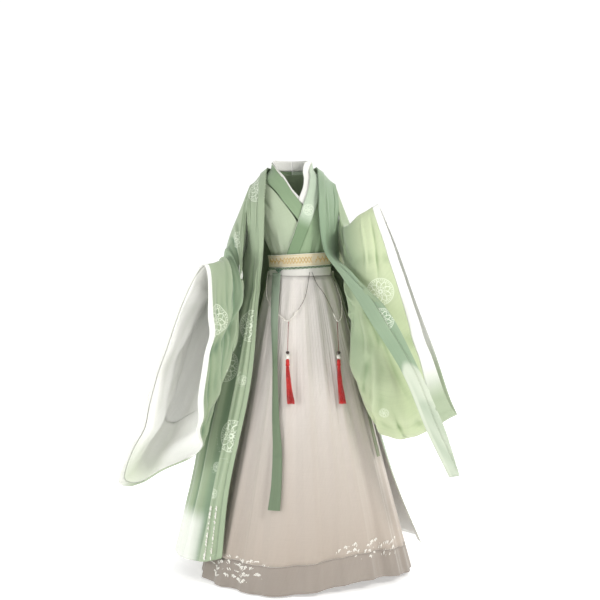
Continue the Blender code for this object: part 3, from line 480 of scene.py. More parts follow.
def leaves(twist, low, high, thin):
    """Curling lines: a wave round the centre whose phase turns with the distance."""
    phase = work("MULTIPLY_ADD", turn, leaf_count, work("MULTIPLY", reach, twist))
    line = work("GREATER_THAN", work("COSINE", phase), thin)
    inside = work("MULTIPLY", work("GREATER_THAN", reach, low), work("LESS_THAN", reach, high))
    return work("MULTIPLY", line, inside)


beads = work("GREATER_THAN", work("COSINE", work("MULTIPLY", turn, 36.0)), 0.0)
lines = [ring(0.965, 0.022), work("MULTIPLY", ring(0.87, 0.035), beads)]
lines += [ring(0.78, 0.012), ring(0.32, 0.016), ring(0.12, 0.05)]
lines += [leaves(11.0, 0.36, 0.76, 0.84), leaves(-13.0, 0.36, 0.76, 0.90), leaves(18.0, 0.14, 0.30, 0.6)]
roundel.links.new(reduce(partial(work, "MAXIMUM"), lines), result["Mask"])
print("groups:", [made.name for made in bpy.data.node_groups])

# %% Cloth material
def new_material(name):
    """A new material, its tree and its shader."""
    made = bpy.data.materials.new(name)
    made.use_nodes = True
    return made, made.node_tree, made.node_tree.nodes["Principled BSDF"]


def finish_surface(tree, shader, wear, smooth, rough, relief, strength, depth, coats):
    """What every finish ends with: roughness that varies with the wear, a fine bump and its coats."""
    uneven = node(tree, "ShaderNodeMapRange", {"Value": wear, "To Min": smooth, "To Max": rough}).outputs[0]
    tree.links.new(uneven, shader.inputs["Roughness"])
    lift = node(tree, "ShaderNodeBump", {"Strength": strength, "Distance": depth, "Height": relief}).outputs[0]
    tree.links.new(lift, shader.inputs["Normal"])
    for key, value in coats.items():
        shader.inputs[key].default_value = value


def cloth_material(name, light, middle, deep, roughness, sheen, threads=1500.0, streak=0.12, bump=0.25,
                   marks=None, fade=None, twill=0.0, depth=0.6, fade_by="fade"):
    """A cloth's finish from the groups; marks and fade are the colours of its round marks and faded places."""
    made, tree, shader = new_material(name)
    make, work = tools(tree)
    place = make("ShaderNodeUVMap", uv_map="cloth").outputs[0]
    spun = make("ShaderNodeGroup", {"Place": place, "Threads": threads, "Twill": twill}, node_tree=weave).outputs
    fold = make("ShaderNodeAttribute", attribute_name="fold").outputs["Fac"]
    colours = {"Light": (*light, 1), "Middle": (*middle, 1), "Deep": (*deep, 1)}
    dye = {"Place": place, "Streak": streak, "Depth": depth, "Fold": fold, **colours}
    colour = make("ShaderNodeGroup", dye, node_tree=uneven_dye).outputs[0]
    if fade:
        share = make("ShaderNodeAttribute", attribute_name=fade_by).outputs["Fac"]
        colour = blend(tree, share, colour, (*fade, 1))
    limits = {"From Min": 0.3, "From Max": 0.7, "To Min": 0.94, "To Max": 1.05}
    tone = make("ShaderNodeMapRange", {"Value": spun["Tone"], **limits}).outputs[0]
    colour = make("ShaderNodeMix", {0: 1.0, 6: colour, 7: tone}, data_type="RGBA", blend_type="MULTIPLY").outputs[2]
    if marks:
        mark_place = make("ShaderNodeAttribute", attribute_name="mark").outputs["Vector"]
        mark = make("ShaderNodeGroup", {"Place": mark_place}, node_tree=roundel).outputs[0]
        colour = blend(tree, work("MULTIPLY", mark, 0.85), colour, (*marks, 1))
    tree.links.new(colour, shader.inputs["Base Color"])
    coats = {"Sheen Weight": sheen, "Sheen Roughness": 0.45, "Specular IOR Level": 0.25}
    wear = (spun["Tone"], roughness - 0.08, roughness + 0.08)
    finish_surface(tree, shader, *wear, spun["Height"], bump, 0.0004, coats)
    return made


def srgb(*values):
    """A colour by eye, as 0 to 255 values, turned into the linear values that shaders use."""
    return tuple(((x / 255 + 0.055) / 1.055) ** 2.4 for x in values)


def three(*values):
    """Three colours by eye, from nine values."""
    return tuple(srgb(*values[k : k + 3]) for k in (0, 3, 6))

# %% Cloth finishes
SAGE_LIGHT, SAGE, SAGE_DEEP = three(172, 186, 158, 150, 168, 137, 118, 141, 112)
SUN_LIGHT, SUN, SUN_DEEP = three(202, 213, 176, 187, 201, 160, 140, 161, 118)
TEAL_LIGHT, TEAL, TEAL_DEEP = three(156, 176, 148, 134, 158, 130, 98, 126, 102)
WHITE, MARK, PALE = three(238, 240, 232, 232, 240, 222, 206, 214, 196)
SAGE_SILK, TEAL_SILK = (SAGE_LIGHT, SAGE, TEAL_DEEP), (TEAL_LIGHT, TEAL, TEAL_DEEP)
SILK, BAND, COLLAR, COTTON, LINING, GAUZE, RIBBON = (  # roughness and sheen
    (0.62, 0.35), (0.6, 0.35), (0.55, 0.3), (0.75, 0.25), (0.7, 0.3), (0.75, 0.3), (0.5, 0.3))
CLOTHS = {  # name: its light, middle and deep colour, how it shines, and what else it needs
    "robe_silk_right": (SAGE_SILK, SILK, {"marks": MARK, "fade": WHITE}),
    "robe_silk_left": (TEAL_SILK, SILK, {"marks": MARK, "fade": PALE}),
    "sleeve_silk_right": (SAGE_SILK, SILK, {"marks": MARK, "depth": 0.9, "fade": TEAL}),
    "sleeve_silk_left": ((SUN_LIGHT, SUN, SUN_DEEP), SILK, {"marks": MARK, "depth": 0.9, "fade": SAGE}),
    "front_band_silk_right": ((SAGE_LIGHT, SAGE, TEAL), BAND, {"fade": WHITE}),
    "front_band_silk_left": (TEAL_SILK, BAND, {"fade": PALE}),
    "top_silk_right": ((srgb(190, 200, 178), srgb(168, 183, 153), SAGE), SILK, {}),
    "top_silk_left": (three(168, 188, 156, 150, 172, 138, 118, 146, 108), SILK, {}),
    "top_silk_back": ((SAGE_LIGHT, SAGE, SAGE_DEEP), SILK, {}),
    "collar_silk_right": (three(146, 168, 134, 130, 153, 120, 112, 140, 106), COLLAR, {}),
    "collar_silk_left": (three(202, 216, 196, 188, 205, 182, 160, 182, 154), COLLAR,
                         {"marks": MARK, "fade": srgb(124, 148, 114)}),
    "white_cotton": (three(244, 244, 240, 236, 236, 230, 222, 224, 214), COTTON, {}),
    "waistband_cotton": (three(228, 226, 220, 218, 216, 209, 200, 198, 190), COTTON, {}),
    "cuff_cotton": (three(250, 250, 247, 244, 245, 240, 226, 228, 220), COTTON, {"fade": SAGE_LIGHT}),
    "lining_silk": (three(252, 252, 249, 248, 248, 243, 232, 235, 226), LINING, {"fade": srgb(220, 228, 208)}),
    "body_lining_silk": (three(250, 250, 247, 244, 244, 239, 230, 233, 224), LINING,
                         {"fade": SAGE, "fade_by": "turned_back"}),
    "skirt_gauze": (three(232, 228, 224, 222, 217, 212, 206, 200, 193), GAUZE,
                    {"streak": 0.2, "fade": srgb(182, 170, 158), "depth": 0.4}),
    "hem_gauze": (three(166, 156, 147, 152, 143, 134, 138, 129, 120), GAUZE, {"depth": 0.35}),
    "sash_brocade": (three(224, 214, 188, 216, 205, 176, 200, 186, 154), (0.5, 0.2),
                     {"threads": 1100.0, "twill": 1.0, "bump": 0.4}),
    "ribbon_silk": (three(118, 134, 108, 98, 116, 90, 76, 94, 70), RIBBON, {"fade": srgb(150, 166, 146)}),
    "side_ribbon_silk": (three(144, 152, 122, 122, 130, 102, 98, 108, 80), RIBBON, {}),
}
for name, (colours, shine, more) in CLOTHS.items():
    finish[name] = cloth_material(name, *colours, *shine, **more)
print("finishes:", len(finish))

# %% [markdown]
# The skirt hangs from the waistband, so it is drawn first. Its table gives an oval for each height. Broad
# swings push the hem in and out, and gathers run down it as waves of three sizes that share no common
# step. Fine pleats come on top, cut inwards only, so that ribbons and beads in front stay clear of them.

# %% Figure and skirt surfaces
# General figure from hip to neck: height, half width, half depth, centre in x, centre in y
FIGURE = (
    (-0.37, 0.094, 0.08, 0.03, 0.0), (-0.3, 0.091, 0.077, 0.027, 0.0), (-0.24, 0.106, 0.087, 0.021, 0.0),
    (-0.17, 0.13, 0.098, 0.013, -0.003), (-0.11, 0.143, 0.096, 0.007, 0.0),
    (-0.065, 0.137, 0.084, 0.003, 0.003), (-0.03, 0.106, 0.071, 0.0, 0.005), (0.0, 0.07, 0.062, 0.0, 0.006),
    (0.045, 0.06, 0.056, 0.0, 0.009),
)
# Skirt: height, half width, half depth, centre in x, centre in y, depth of the gathers
SKIRT = (
    (-0.36, 0.109, 0.0951, 0.0296, 0.0, 0.0006), (-0.42, 0.13, 0.114, 0.032, 0.0, 0.004),
    (-0.56, 0.166, 0.15, 0.036, -0.002, 0.006), (-0.8, 0.222, 0.208, 0.042, -0.01, 0.008),
    (-1.1, 0.294, 0.28, 0.049, -0.022, 0.01), (-1.396, 0.365, 0.349, 0.056, -0.032, 0.012),
)
# Gathers of the skirt: waves round it, share of the depth, turn
GATHERS = (
    (20, 0.5, 0.6), (13, 0.32, 2.1), (8, 0.28, 4.0),
)
# Broad swings of the skirt's hem: angle, half angle, how far it swings out
HEM_SWINGS = (
    (-112, 26, 0.032), (-160, 20, 0.018), (-66, 24, -0.02), (100, 40, 0.015),
)
HEM_LIFT = (-52, 34, 0.028)  # angle, half angle and height of the lifted part of the hem
SKIRT_TOP, HEM, HEM_BAND, SEAM = -0.360, -1.392, 0.090, 0.0004
CLOTH_WALL = 0.0012  # how thick most of the cloth is


def figure(angle, z):
    """Points on a general figure at these angles and heights."""
    half_width, half_depth, centre_x, centre_y = at_height(FIGURE, z)
    turn = np.radians(angle)
    return np.stack([centre_x + half_width * np.cos(turn), centre_y + half_depth * np.sin(turn), z], axis=1)


def on_figure(angle, z, out):
    """Points that stand off a general figure by this much; -90 degrees is the front."""
    angle, z = np.broadcast_arrays(np.atleast_1d(angle).astype(float), np.atleast_1d(z).astype(float))
    round_it = figure(angle + 0.5, z) - figure(angle - 0.5, z)
    up = figure(angle, z + 0.001) - figure(angle, z - 0.001)
    return figure(angle, z) + unit(np.cross(round_it, up)) * np.broadcast_to(out, z.shape)[:, None]


def between_angles(angle, middle, half_angle):
    """A hump round the skirt, with its middle at an angle."""
    return hump((angle - middle + 180) % 360 - 180, half_angle)


def hem_height(angle):
    """Height of the skirt's hem, which is lifted in one place."""
    middle, half_angle, lift = HEM_LIFT
    return HEM + lift * between_angles(angle, middle, half_angle)


def on_skirt(angle, z, out=0.0, gathered=True):
    """Points on the skirt at these angles and heights, or standing off it."""
    angle, z = np.broadcast_arrays(np.atleast_1d(angle).astype(float), np.atleast_1d(z).astype(float))
    half_width, half_depth, centre_x, centre_y, depth = at_height(SKIRT, z)
    turn = np.radians(angle)
    swing = ((SKIRT_TOP - z) / (SKIRT_TOP - HEM)) ** 2
    out = out + sum(far * swing * between_angles(angle, middle, half) for middle, half, far in HEM_SWINGS)
    gathers = sum(share * np.sin(waves * turn + shift) for waves, share, shift in GATHERS)
    out = out + depth * (gathers if gathered else 1)
    x, y = centre_x + (half_width + out) * np.cos(turn), centre_y + (half_depth + out) * np.sin(turn)
    return np.stack([x, y, z], axis=1)


def skirt_angle(x, z):
    """Angles at which the front of the skirt passes these places in x."""
    half_width, _, centre_x, _, _ = at_height(SKIRT, np.atleast_1d(z).astype(float))
    return -np.degrees(np.arccos(np.clip((x - centre_x) / half_width, -1, 1)))


def pleats(angle, z):
    """Fine pleats, cut inwards: narrow at the waistband, slack and uneven lower down."""
    turn = np.radians(angle)
    down = np.clip((SKIRT_TOP - z) / (SKIRT_TOP - HEM), 0, 1)
    wander = 0.9 * np.sin(3 * turn + 1.1) + 0.6 * np.sin(7 * turn + 4 * down)
    fine = np.cos(118 * turn + 2.2 * wander) * (1 - 0.75 * eased(down * 1.6))
    broad = np.cos(47 * turn + 1.7 * wander + 0.8) * eased(down * 2.4)
    depth = 0.0006 + 0.0018 * eased(down * 3)
    return -depth * (1 - 0.30 * fine - 0.55 * broad)


def skirt_surface(u, v):
    """The pleated skirt: u round it from the wearer's left side, v down it."""
    angle = 360 * u
    z = SKIRT_TOP - SEAM + (hem_height(angle) - SKIRT_TOP) * v
    return on_skirt(angle, z, pleats(angle, z))


split = 1 - HEM_BAND / (SKIRT_TOP - HEM)
skirt_upper, skirt_lower = cut(skirt_surface, 0, 1, 0, split), cut(skirt_surface, 0, 1, split + SEAM * 2, 1)
cloth("skirt_gathered", skirt_upper, 720, 56, CLOTH_WALL, "skirt_cloth", "skirt_gauze", "skirt",
      closed=True, fade=lambda u, v: v)
cloth("skirt_hem", skirt_lower, 720, 9, CLOTH_WALL, "skirt_cloth", "hem_gauze", "skirt_hem_band",
      closed=True)

# %% [markdown]
# The top is cut from a back and two fronts, and lies close over the figure. The left front crosses over
# the right one, as it always does on such a set. Each collar is one long band, folded over the edge, and
# a thin white inner collar shows inside it. Layers are 2.4 mm apart, so nothing touches where it crosses.

# %% Top, collars and inner collars
# Top, a row for each height: height, angle of the inner edge, angle of the side or armhole edge
TOP_RIGHT = (
    (-0.008, 186, 181), (-0.03, 207, 181), (-0.06, 238, 184), (-0.1, 254, 206), (-0.15, 267, 209),
    (-0.2, 277, 197), (-0.25, 283, 182), (-0.292, 286, 180.2), (-0.335, 288, 180.2),
)
TOP_LEFT = (
    (-0.008, -6, -1), (-0.03, -27, -1), (-0.06, -44, -4), (-0.1, -56, -26), (-0.15, -68, -29),
    (-0.2, -80, -17), (-0.25, -94, -2), (-0.292, -103, -0.2), (-0.335, -112, -0.2),
)
# The back meets both sides, so its edges are the left side's angles and their mirror image
TOP_BACK = tuple((z, -side, 180 + side) for z, _, side in TOP_LEFT)
# Collar bands: inner edge's angle and height, then the outer edge's
COLLAR_RIGHT = (
    (90.3, 0.034, 90.3, -0.012), (125, 0.035, 125, -0.014), (160, 0.034, 160, -0.016),
    (200, 0.024, 198, -0.016), (228, 0.0, 216, -0.03), (256, -0.03, 243, -0.064), (271, -0.08, 257, -0.108),
    (282, -0.12, 272, -0.16), (290, -0.15, 281, -0.185),
)
COLLAR_LEFT = (
    (89.7, 0.034, 89.7, -0.012), (55, 0.035, 55, -0.014), (20, 0.034, 20, -0.016), (-18, 0.026, -18, -0.018),
    (-46, -0.01, -35, -0.036), (-63, -0.045, -49, -0.072), (-76, -0.105, -60, -0.124),
    (-85, -0.163, -69, -0.18), (-98, -0.225, -80, -0.238), (-113, -0.277, -93, -0.292),
    (-124, -0.318, -102, -0.33),
)
INNER_RIGHT = (
    (90.3, 0.04, 90.3, 0.004), (125, 0.041, 125, 0.004), (160, 0.04, 160, 0.004), (198, 0.03, 196, 0.0),
    (226, 0.006, 217, -0.018), (256, -0.022, 246, -0.05), (271, -0.068, 260, -0.094),
    (280, -0.095, 271, -0.126),
)
INNER_LEFT = (
    (89.7, 0.04, 89.7, 0.004), (55, 0.041, 55, 0.004), (20, 0.041, 20, 0.004), (-20, 0.04, -20, 0.004),
    (-48, 0.03, -46, -0.014), (-62, -0.008, -57, -0.044), (-77, -0.066, -66, -0.086),
    (-84, -0.1, -74, -0.122),
)
FIRST_LAYER, LAYER = 0.0012, 0.0024


def layer(count):
    """How far a layer of the top stands off the figure."""
    return FIRST_LAYER + LAYER * count


def top_panel(rows, edge_layer):
    """Panel of the top: u from its inner edge to its side, v from the shoulder down."""

    def surface(u, v):
        z, inner, side = smooth_line(rows, v).T
        rise = (edge_layer - 2) * eased(v / 0.4) * (1 - u)
        return on_figure(inner + (side - inner) * u, z, layer(2 + rise))

    return surface


def collar(rows, start_layer, end_layer):
    """Band on the figure: u from its inner to its outer edge, v from the centre back to the front end."""

    def surface(u, v):
        inner_angle, inner_z, outer_angle, outer_z = smooth_line(rows, v).T
        rise = (end_layer - start_layer) * eased((v - 0.2) / 0.35)
        angle, z = inner_angle + (outer_angle - inner_angle) * u, inner_z + (outer_z - inner_z) * u
        return on_figure(angle, z, layer(start_layer + rise))

    return surface


for side, rows, end_layer in (("right", INNER_RIGHT, 1.4), ("left", INNER_LEFT, 2.2)):
    cloth(f"inner_collar_silk_{side}", collar(rows, 2.0, end_layer), 6, 110, CLOTH_WALL, "white_cloth",
          "white_cotton", f"inner_collar_{side}")
# Gathers above the sash and slack creases: from u, v, to u, v, bow, half width, depth
TOP_CREASES = (
    (0.3, 0.66, 0.34, 1.02, 0.002, 0.0045, 0.0022), (0.42, 0.72, 0.43, 1.02, 0.001, 0.004, -0.002),
    (0.5, 0.6, 0.5, 1.02, 0.002, 0.0055, 0.0024), (0.6, 0.7, 0.58, 1.02, -0.001, 0.004, -0.002),
    (0.7, 0.62, 0.66, 1.02, 0.002, 0.005, 0.0022), (0.82, 0.55, 0.76, 1.02, -0.003, 0.006, -0.0024),
    (0.95, 0.35, 0.55, 0.7, 0.006, 0.009, 0.0026), (0.9, 0.2, 0.45, 0.52, 0.004, 0.01, -0.0022),
)
front_relief = summed(crease_height(TOP_CREASES, 0.20, 0.36), ripple(0.20, 0.36, 0.09, 0.0004, 2))
back_relief = ripple(0.3, 0.33, 0.12, 0.0008, 6)
TOP_PANELS = (  # piece, node, table, layer at its inner edge, relief, out, squares each way, finish
    ("top_silk_back", "top_back", TOP_BACK, 2, back_relief, -1, 72, 64, "top_silk_back"),
    ("top_silk_front_right", "top_front_right", TOP_RIGHT, 2, front_relief, 1, 70, 90, "top_silk_right"),
    ("top_silk_front_left", "top_front_left", TOP_LEFT, 4, front_relief, -1, 70, 90, "top_silk_left"),
)
for name, cad_node, rows, edge_layer, relief, out, across, along, finish_name in TOP_PANELS:
    panel = raised(top_panel(rows, edge_layer), relief, out)
    cloth(name, panel, across, along, CLOTH_WALL, "top_cloth", finish_name, cad_node)
COLLAR_WALL = 0.0014
collar_right, collar_left = collar(COLLAR_RIGHT, 3, 3), collar(COLLAR_LEFT, 3, 5)
cloth("collar_silk_right", collar_right, 8, 130, COLLAR_WALL, "collar_cloth", "collar_silk_right",
      "top_collar_right")
cloth("collar_silk_left", collar_left, 8, 150, COLLAR_WALL, "collar_cloth", "collar_silk_left",
      "top_collar_left", fade=lambda u, v: eased((v - 0.655) / 0.08), marks=((0.45, 0.631, 0.020, 6),))

# %% [markdown]
# At the waist three layers lie over each other: the white waistband that carries the skirt, the stiff
# brocade sash, and the braided ribbon just below it. The sash sits a little higher on the wearer's left.

# %% Waistband, sash and belt
SASH_TOP, SASH_BOTTOM, SASH_RISE, WAISTBAND_TOP, BELT_Z = -0.281, -0.327, 0.005, -0.300, -0.3325
WAISTBAND_OUT, SASH_OUT, BELT_OUT = 0.0155, 0.0179, 0.0184
WAISTBAND_WALL, SASH_WALL = 0.0014, 0.0020


def waist_ring(bottom, top, out, rise=0.0):
    """A band round the waist that may sit higher on the wearer's left."""

    def surface(u, v):
        return on_figure(360 * u, bottom + (top - bottom) * v + rise * np.cos(2 * pi * u), out)

    return surface


waistband = waist_ring(SKIRT_TOP, WAISTBAND_TOP, WAISTBAND_OUT)
sash = waist_ring(SASH_BOTTOM, SASH_TOP, SASH_OUT, SASH_RISE)
cloth("waistband", waistband, 180, 10, WAISTBAND_WALL, "skirt_cloth", "waistband_cotton",
      "skirt_waistband", closed=True)
cloth("sash", sash, 240, 14, SASH_WALL, "sash_brocade", "sash_brocade", "waist_sash", closed=True)

# %% [markdown]
# The robe is the largest piece. Each side has a body piece from the front hem over the shoulder to the
# back hem, a band along its front edge, a sleeve, a white border at the sleeve's mouth and a white lining
# inside it. The wearer's right side hangs straight. The left front is blown to the side, where it folds
# into a narrow strip in front of the sleeve.

# %% Robe tables
# Robe body, one row for each level from the front hem over the shoulder to the back hem, and four lines
# across it: front edge or centre back, two inner lines, side seam or armhole
ROBE_RIGHT = (
    ((-0.234, -0.262, -1.3), (-0.3, -0.238, -1.318), (-0.372, -0.16, -1.326), (-0.412, -0.05, -1.326)),
    ((-0.208, -0.225, -1.06), (-0.256, -0.204, -1.064), (-0.316, -0.125, -1.065), (-0.352, -0.015, -1.065)),
    ((-0.142, -0.176, -0.74), (-0.188, -0.158, -0.74), (-0.252, -0.086, -0.74), (-0.294, 0.022, -0.74)),
    ((-0.114, -0.15, -0.46), (-0.138, -0.13, -0.46), (-0.174, -0.076, -0.46), (-0.2, 0.015, -0.46)),
    ((-0.106, -0.138, -0.37), (-0.126, -0.122, -0.37), (-0.152, -0.074, -0.37), (-0.168, 0.006, -0.37)),
    ((-0.098, -0.125, -0.28), (-0.117, -0.11, -0.28), (-0.141, -0.066, -0.28), (-0.154, 0.0, -0.28)),
    ((-0.094, -0.112, -0.15), (-0.114, -0.1, -0.15), (-0.138, -0.082, -0.15), (-0.158, -0.06, -0.155)),
    ((-0.092, -0.092, -0.07), (-0.112, -0.078, -0.075), (-0.135, -0.06, -0.082), (-0.156, -0.042, -0.09)),
    ((-0.086, -0.014, 0.008), (-0.106, -0.008, -0.01), (-0.126, 0.0, -0.028), (-0.146, 0.0, -0.046)),
    ((-0.07, 0.056, 0.012), (-0.1, 0.056, -0.014), (-0.13, 0.052, -0.05), (-0.156, 0.042, -0.09)),
    ((0.0, 0.09, 0.01), (-0.055, 0.1, -0.04), (-0.11, 0.092, -0.1), (-0.159, 0.06, -0.155)),
    ((0.0, 0.128, -0.28), (-0.055, 0.124, -0.28), (-0.114, 0.092, -0.28), (-0.154, 0.0, -0.28)),
    ((0.008, 0.14, -0.37), (-0.06, 0.134, -0.37), (-0.131, 0.097, -0.37), (-0.168, 0.006, -0.37)),
    ((0.015, 0.162, -0.46), (-0.07, 0.152, -0.46), (-0.155, 0.11, -0.46), (-0.2, 0.015, -0.46)),
    ((0.03, 0.245, -0.74), (-0.1, 0.225, -0.74), (-0.23, 0.15, -0.74), (-0.294, 0.022, -0.74)),
    ((0.04, 0.345, -1.065), (-0.15, 0.31, -1.065), (-0.295, 0.18, -1.065), (-0.352, -0.015, -1.065)),
    ((0.045, 0.44, -1.33), (-0.2, 0.39, -1.33), (-0.372, 0.21, -1.328), (-0.412, -0.05, -1.326)),
)
# The left front is blown to the side and folded into a narrow strip in front of the sleeve
ROBE_LEFT = (
    ((0.52, -0.316, -1.014), (0.554, -0.312, -1.008), (0.524, -0.296, -1.004), (0.553, -0.282, -0.998)),
    ((0.443, -0.318, -0.856), (0.503, -0.316, -0.85), (0.45, -0.298, -0.846), (0.5, -0.282, -0.84)),
    ((0.362, -0.316, -0.665), (0.415, -0.314, -0.65), (0.366, -0.296, -0.645), (0.408, -0.28, -0.635)),
    ((0.262, -0.304, -0.505), (0.326, -0.304, -0.48), (0.272, -0.286, -0.468), (0.308, -0.27, -0.45)),
    ((0.176, -0.2, -0.364), (0.208, -0.232, -0.352), (0.194, -0.206, -0.342), (0.166, -0.158, -0.33)),
    ((0.112, -0.122, -0.275), (0.132, -0.116, -0.278), (0.148, -0.068, -0.28), (0.158, 0.0, -0.28)),
    ((0.093, -0.118, -0.15), (0.116, -0.105, -0.15), (0.142, -0.084, -0.15), (0.163, -0.06, -0.155)),
    ((0.092, -0.098, -0.07), (0.114, -0.083, -0.073), (0.138, -0.062, -0.081), (0.16, -0.042, -0.09)),
    ((0.086, -0.014, 0.01), (0.107, -0.008, -0.007), (0.129, 0.0, -0.024), (0.151, 0.0, -0.042)),
    ((0.07, 0.056, 0.012), (0.1, 0.056, -0.014), (0.132, 0.052, -0.048), (0.16, 0.042, -0.09)),
    ((0.0, 0.09, 0.01), (0.055, 0.1, -0.04), (0.112, 0.092, -0.1), (0.164, 0.06, -0.155)),
    ((0.0, 0.128, -0.28), (0.06, 0.124, -0.28), (0.12, 0.092, -0.28), (0.158, 0.0, -0.28)),
    ((0.008, 0.14, -0.37), (0.076, 0.136, -0.37), (0.146, 0.098, -0.37), (0.172, 0.02, -0.37)),
    ((0.015, 0.162, -0.46), (0.095, 0.156, -0.46), (0.172, 0.112, -0.46), (0.194, 0.03, -0.46)),
    ((0.03, 0.245, -0.74), (0.148, 0.232, -0.74), (0.238, 0.158, -0.74), (0.264, 0.05, -0.74)),
    ((0.04, 0.345, -1.065), (0.195, 0.325, -1.065), (0.318, 0.23, -1.065), (0.356, 0.08, -1.065)),
    ((0.045, 0.44, -1.33), (0.25, 0.405, -1.33), (0.412, 0.27, -1.334), (0.468, 0.1, -1.338)),
)
ARMPIT_FRONT, SHOULDER, NECK_BACK, ARMPIT_BACK, LAST_ROW = 5, 8, 10, 11, 16
# Sleeves, a row for each section from the upper arm to the mouth, and ten lines round it: along the arm,
# three down the front layer, heel, middle and corner of the bottom edge, three up the back layer
SLEEVE_RIGHT = (
    ((-0.186, -0.005, -0.155), (-0.176, -0.072, -0.25), (-0.174, -0.102, -0.345), (-0.186, -0.104, -0.425),
     (-0.206, -0.07, -0.475), (-0.228, -0.008, -0.486), (-0.25, 0.042, -0.466), (-0.26, 0.062, -0.4),
     (-0.248, 0.066, -0.32), (-0.224, 0.045, -0.238)),
    ((-0.226, -0.05, -0.292), (-0.176, -0.118, -0.385), (-0.188, -0.14, -0.51), (-0.208, -0.134, -0.61),
     (-0.248, -0.1, -0.69), (-0.322, -0.05, -0.756), (-0.398, -0.004, -0.78), (-0.386, -0.018, -0.68),
     (-0.332, -0.022, -0.535), (-0.27, -0.032, -0.385)),
    ((-0.25, -0.2, -0.306), (-0.236, -0.205, -0.425), (-0.252, -0.206, -0.62), (-0.286, -0.196, -0.815),
     (-0.294, -0.175, -0.912), (-0.4, -0.155, -0.975), (-0.522, -0.135, -1.01), (-0.482, -0.165, -0.875),
     (-0.402, -0.19, -0.63), (-0.318, -0.22, -0.4)),
    ((-0.285, -0.335, -0.312), (-0.272, -0.312, -0.43), (-0.29, -0.292, -0.626), (-0.322, -0.272, -0.843),
     (-0.306, -0.252, -0.93), (-0.418, -0.24, -0.995), (-0.58, -0.225, -1.055), (-0.526, -0.27, -0.893),
     (-0.44, -0.315, -0.64), (-0.352, -0.352, -0.4)),
)
SLEEVE_LEFT = (
    ((0.174, -0.04, -0.172), (0.179, -0.1, -0.262), (0.19, -0.128, -0.37), (0.2, -0.122, -0.47),
     (0.214, -0.084, -0.54), (0.242, -0.01, -0.56), (0.246, 0.04, -0.54), (0.254, 0.07, -0.45),
     (0.252, 0.075, -0.35), (0.228, 0.035, -0.24)),
    ((0.19, -0.105, -0.188), (0.196, -0.172, -0.292), (0.2, -0.188, -0.45), (0.21, -0.19, -0.63),
     (0.236, -0.172, -0.765), (0.268, -0.12, -0.825), (0.28, -0.06, -0.79), (0.28, 0.0, -0.64),
     (0.27, 0.022, -0.45), (0.244, -0.02, -0.29)),
    ((0.228, -0.165, -0.15), (0.25, -0.222, -0.272), (0.288, -0.238, -0.44), (0.328, -0.238, -0.64),
     (0.352, -0.212, -0.84), (0.374, -0.16, -0.915), (0.384, -0.095, -0.88), (0.376, -0.03, -0.68),
     (0.34, -0.01, -0.46), (0.292, -0.06, -0.27)),
    ((0.288, -0.22, -0.112), (0.344, -0.224, -0.262), (0.405, -0.216, -0.44), (0.47, -0.198, -0.62),
     (0.524, -0.172, -0.765), (0.568, -0.13, -0.835), (0.545, -0.085, -0.775), (0.494, -0.075, -0.62),
     (0.424, -0.09, -0.436), (0.35, -0.145, -0.24)),
)
# Largest folds: place across, drift along, half width, depth, from, to (all but the depth as shares)
FOLDS_SLEEVE_RIGHT = (
    (0.13, 0.03, 0.022, 0.012, 0.25, 1.0), (0.19, 0.0, 0.02, -0.012, 0.2, 0.95),
    (0.27, 0.02, 0.024, 0.013, 0.3, 1.0), (0.35, 0.0, 0.022, -0.01, 0.35, 0.95),
    (0.55, 0.01, 0.026, 0.012, 0.4, 1.0), (0.7, 0.02, 0.024, -0.014, 0.45, 1.0),
    (0.79, 0.0, 0.022, 0.012, 0.3, 0.98), (0.88, 0.02, 0.022, -0.011, 0.15, 0.95),
)
FOLDS_SLEEVE_LEFT = (
    (0.1, 0.02, 0.022, -0.01, 0.2, 1.0), (0.17, 0.03, 0.02, 0.011, 0.15, 0.95),
    (0.25, 0.02, 0.024, -0.012, 0.2, 1.0), (0.33, 0.01, 0.022, 0.011, 0.3, 0.9),
    (0.42, 0.02, 0.022, -0.009, 0.45, 1.0), (0.6, 0.0, 0.024, 0.011, 0.35, 0.95),
    (0.72, 0.01, 0.024, -0.012, 0.3, 0.95), (0.84, 0.02, 0.022, 0.01, 0.2, 0.95),
)
FOLDS_ROBE_RIGHT = (
    (0.22, 0.0, 0.06, 0.008, 0.0, 0.34), (0.5, 0.0, 0.07, -0.01, 0.0, 0.32),
    (0.78, 0.0, 0.07, 0.009, 0.0, 0.3), (0.2, 0.0, 0.06, 0.01, 0.68, 1.0),
    (0.45, 0.02, 0.065, -0.01, 0.66, 1.0), (0.72, 0.0, 0.065, 0.011, 0.7, 1.0),
)
FOLDS_ROBE_LEFT = (
    (0.16, 0.0, 0.06, -0.009, 0.68, 1.0), (0.38, 0.02, 0.065, 0.011, 0.66, 1.0),
    (0.62, 0.0, 0.06, -0.01, 0.7, 1.0), (0.84, 0.0, 0.06, 0.009, 0.7, 1.0),
)

# %% Robe surfaces
CUFF_SEAM, SLEEVE_SEAM, FRONT_BAND, BAND_SHARE = 0.925, 0.008, 0.030, 0.25
BAND_OUT, LINING_IN = 0.0030, 0.0029


def edge(points, breaks):
    """A line along the robe through its rows, with a corner allowed at each break."""
    points, stops = np.asarray(points, float), [0, *breaks, LAST_ROW]

    def line(v):
        row = np.clip(v, 0, 1) * LAST_ROW
        found = np.zeros((len(row), 3))
        for start, end in zip(stops[::-1][1:], stops[::-1]):
            here = row <= end
            found[here] = smooth_line(points[start : end + 1], (row[here] - start) / (end - start))
        return found

    return line


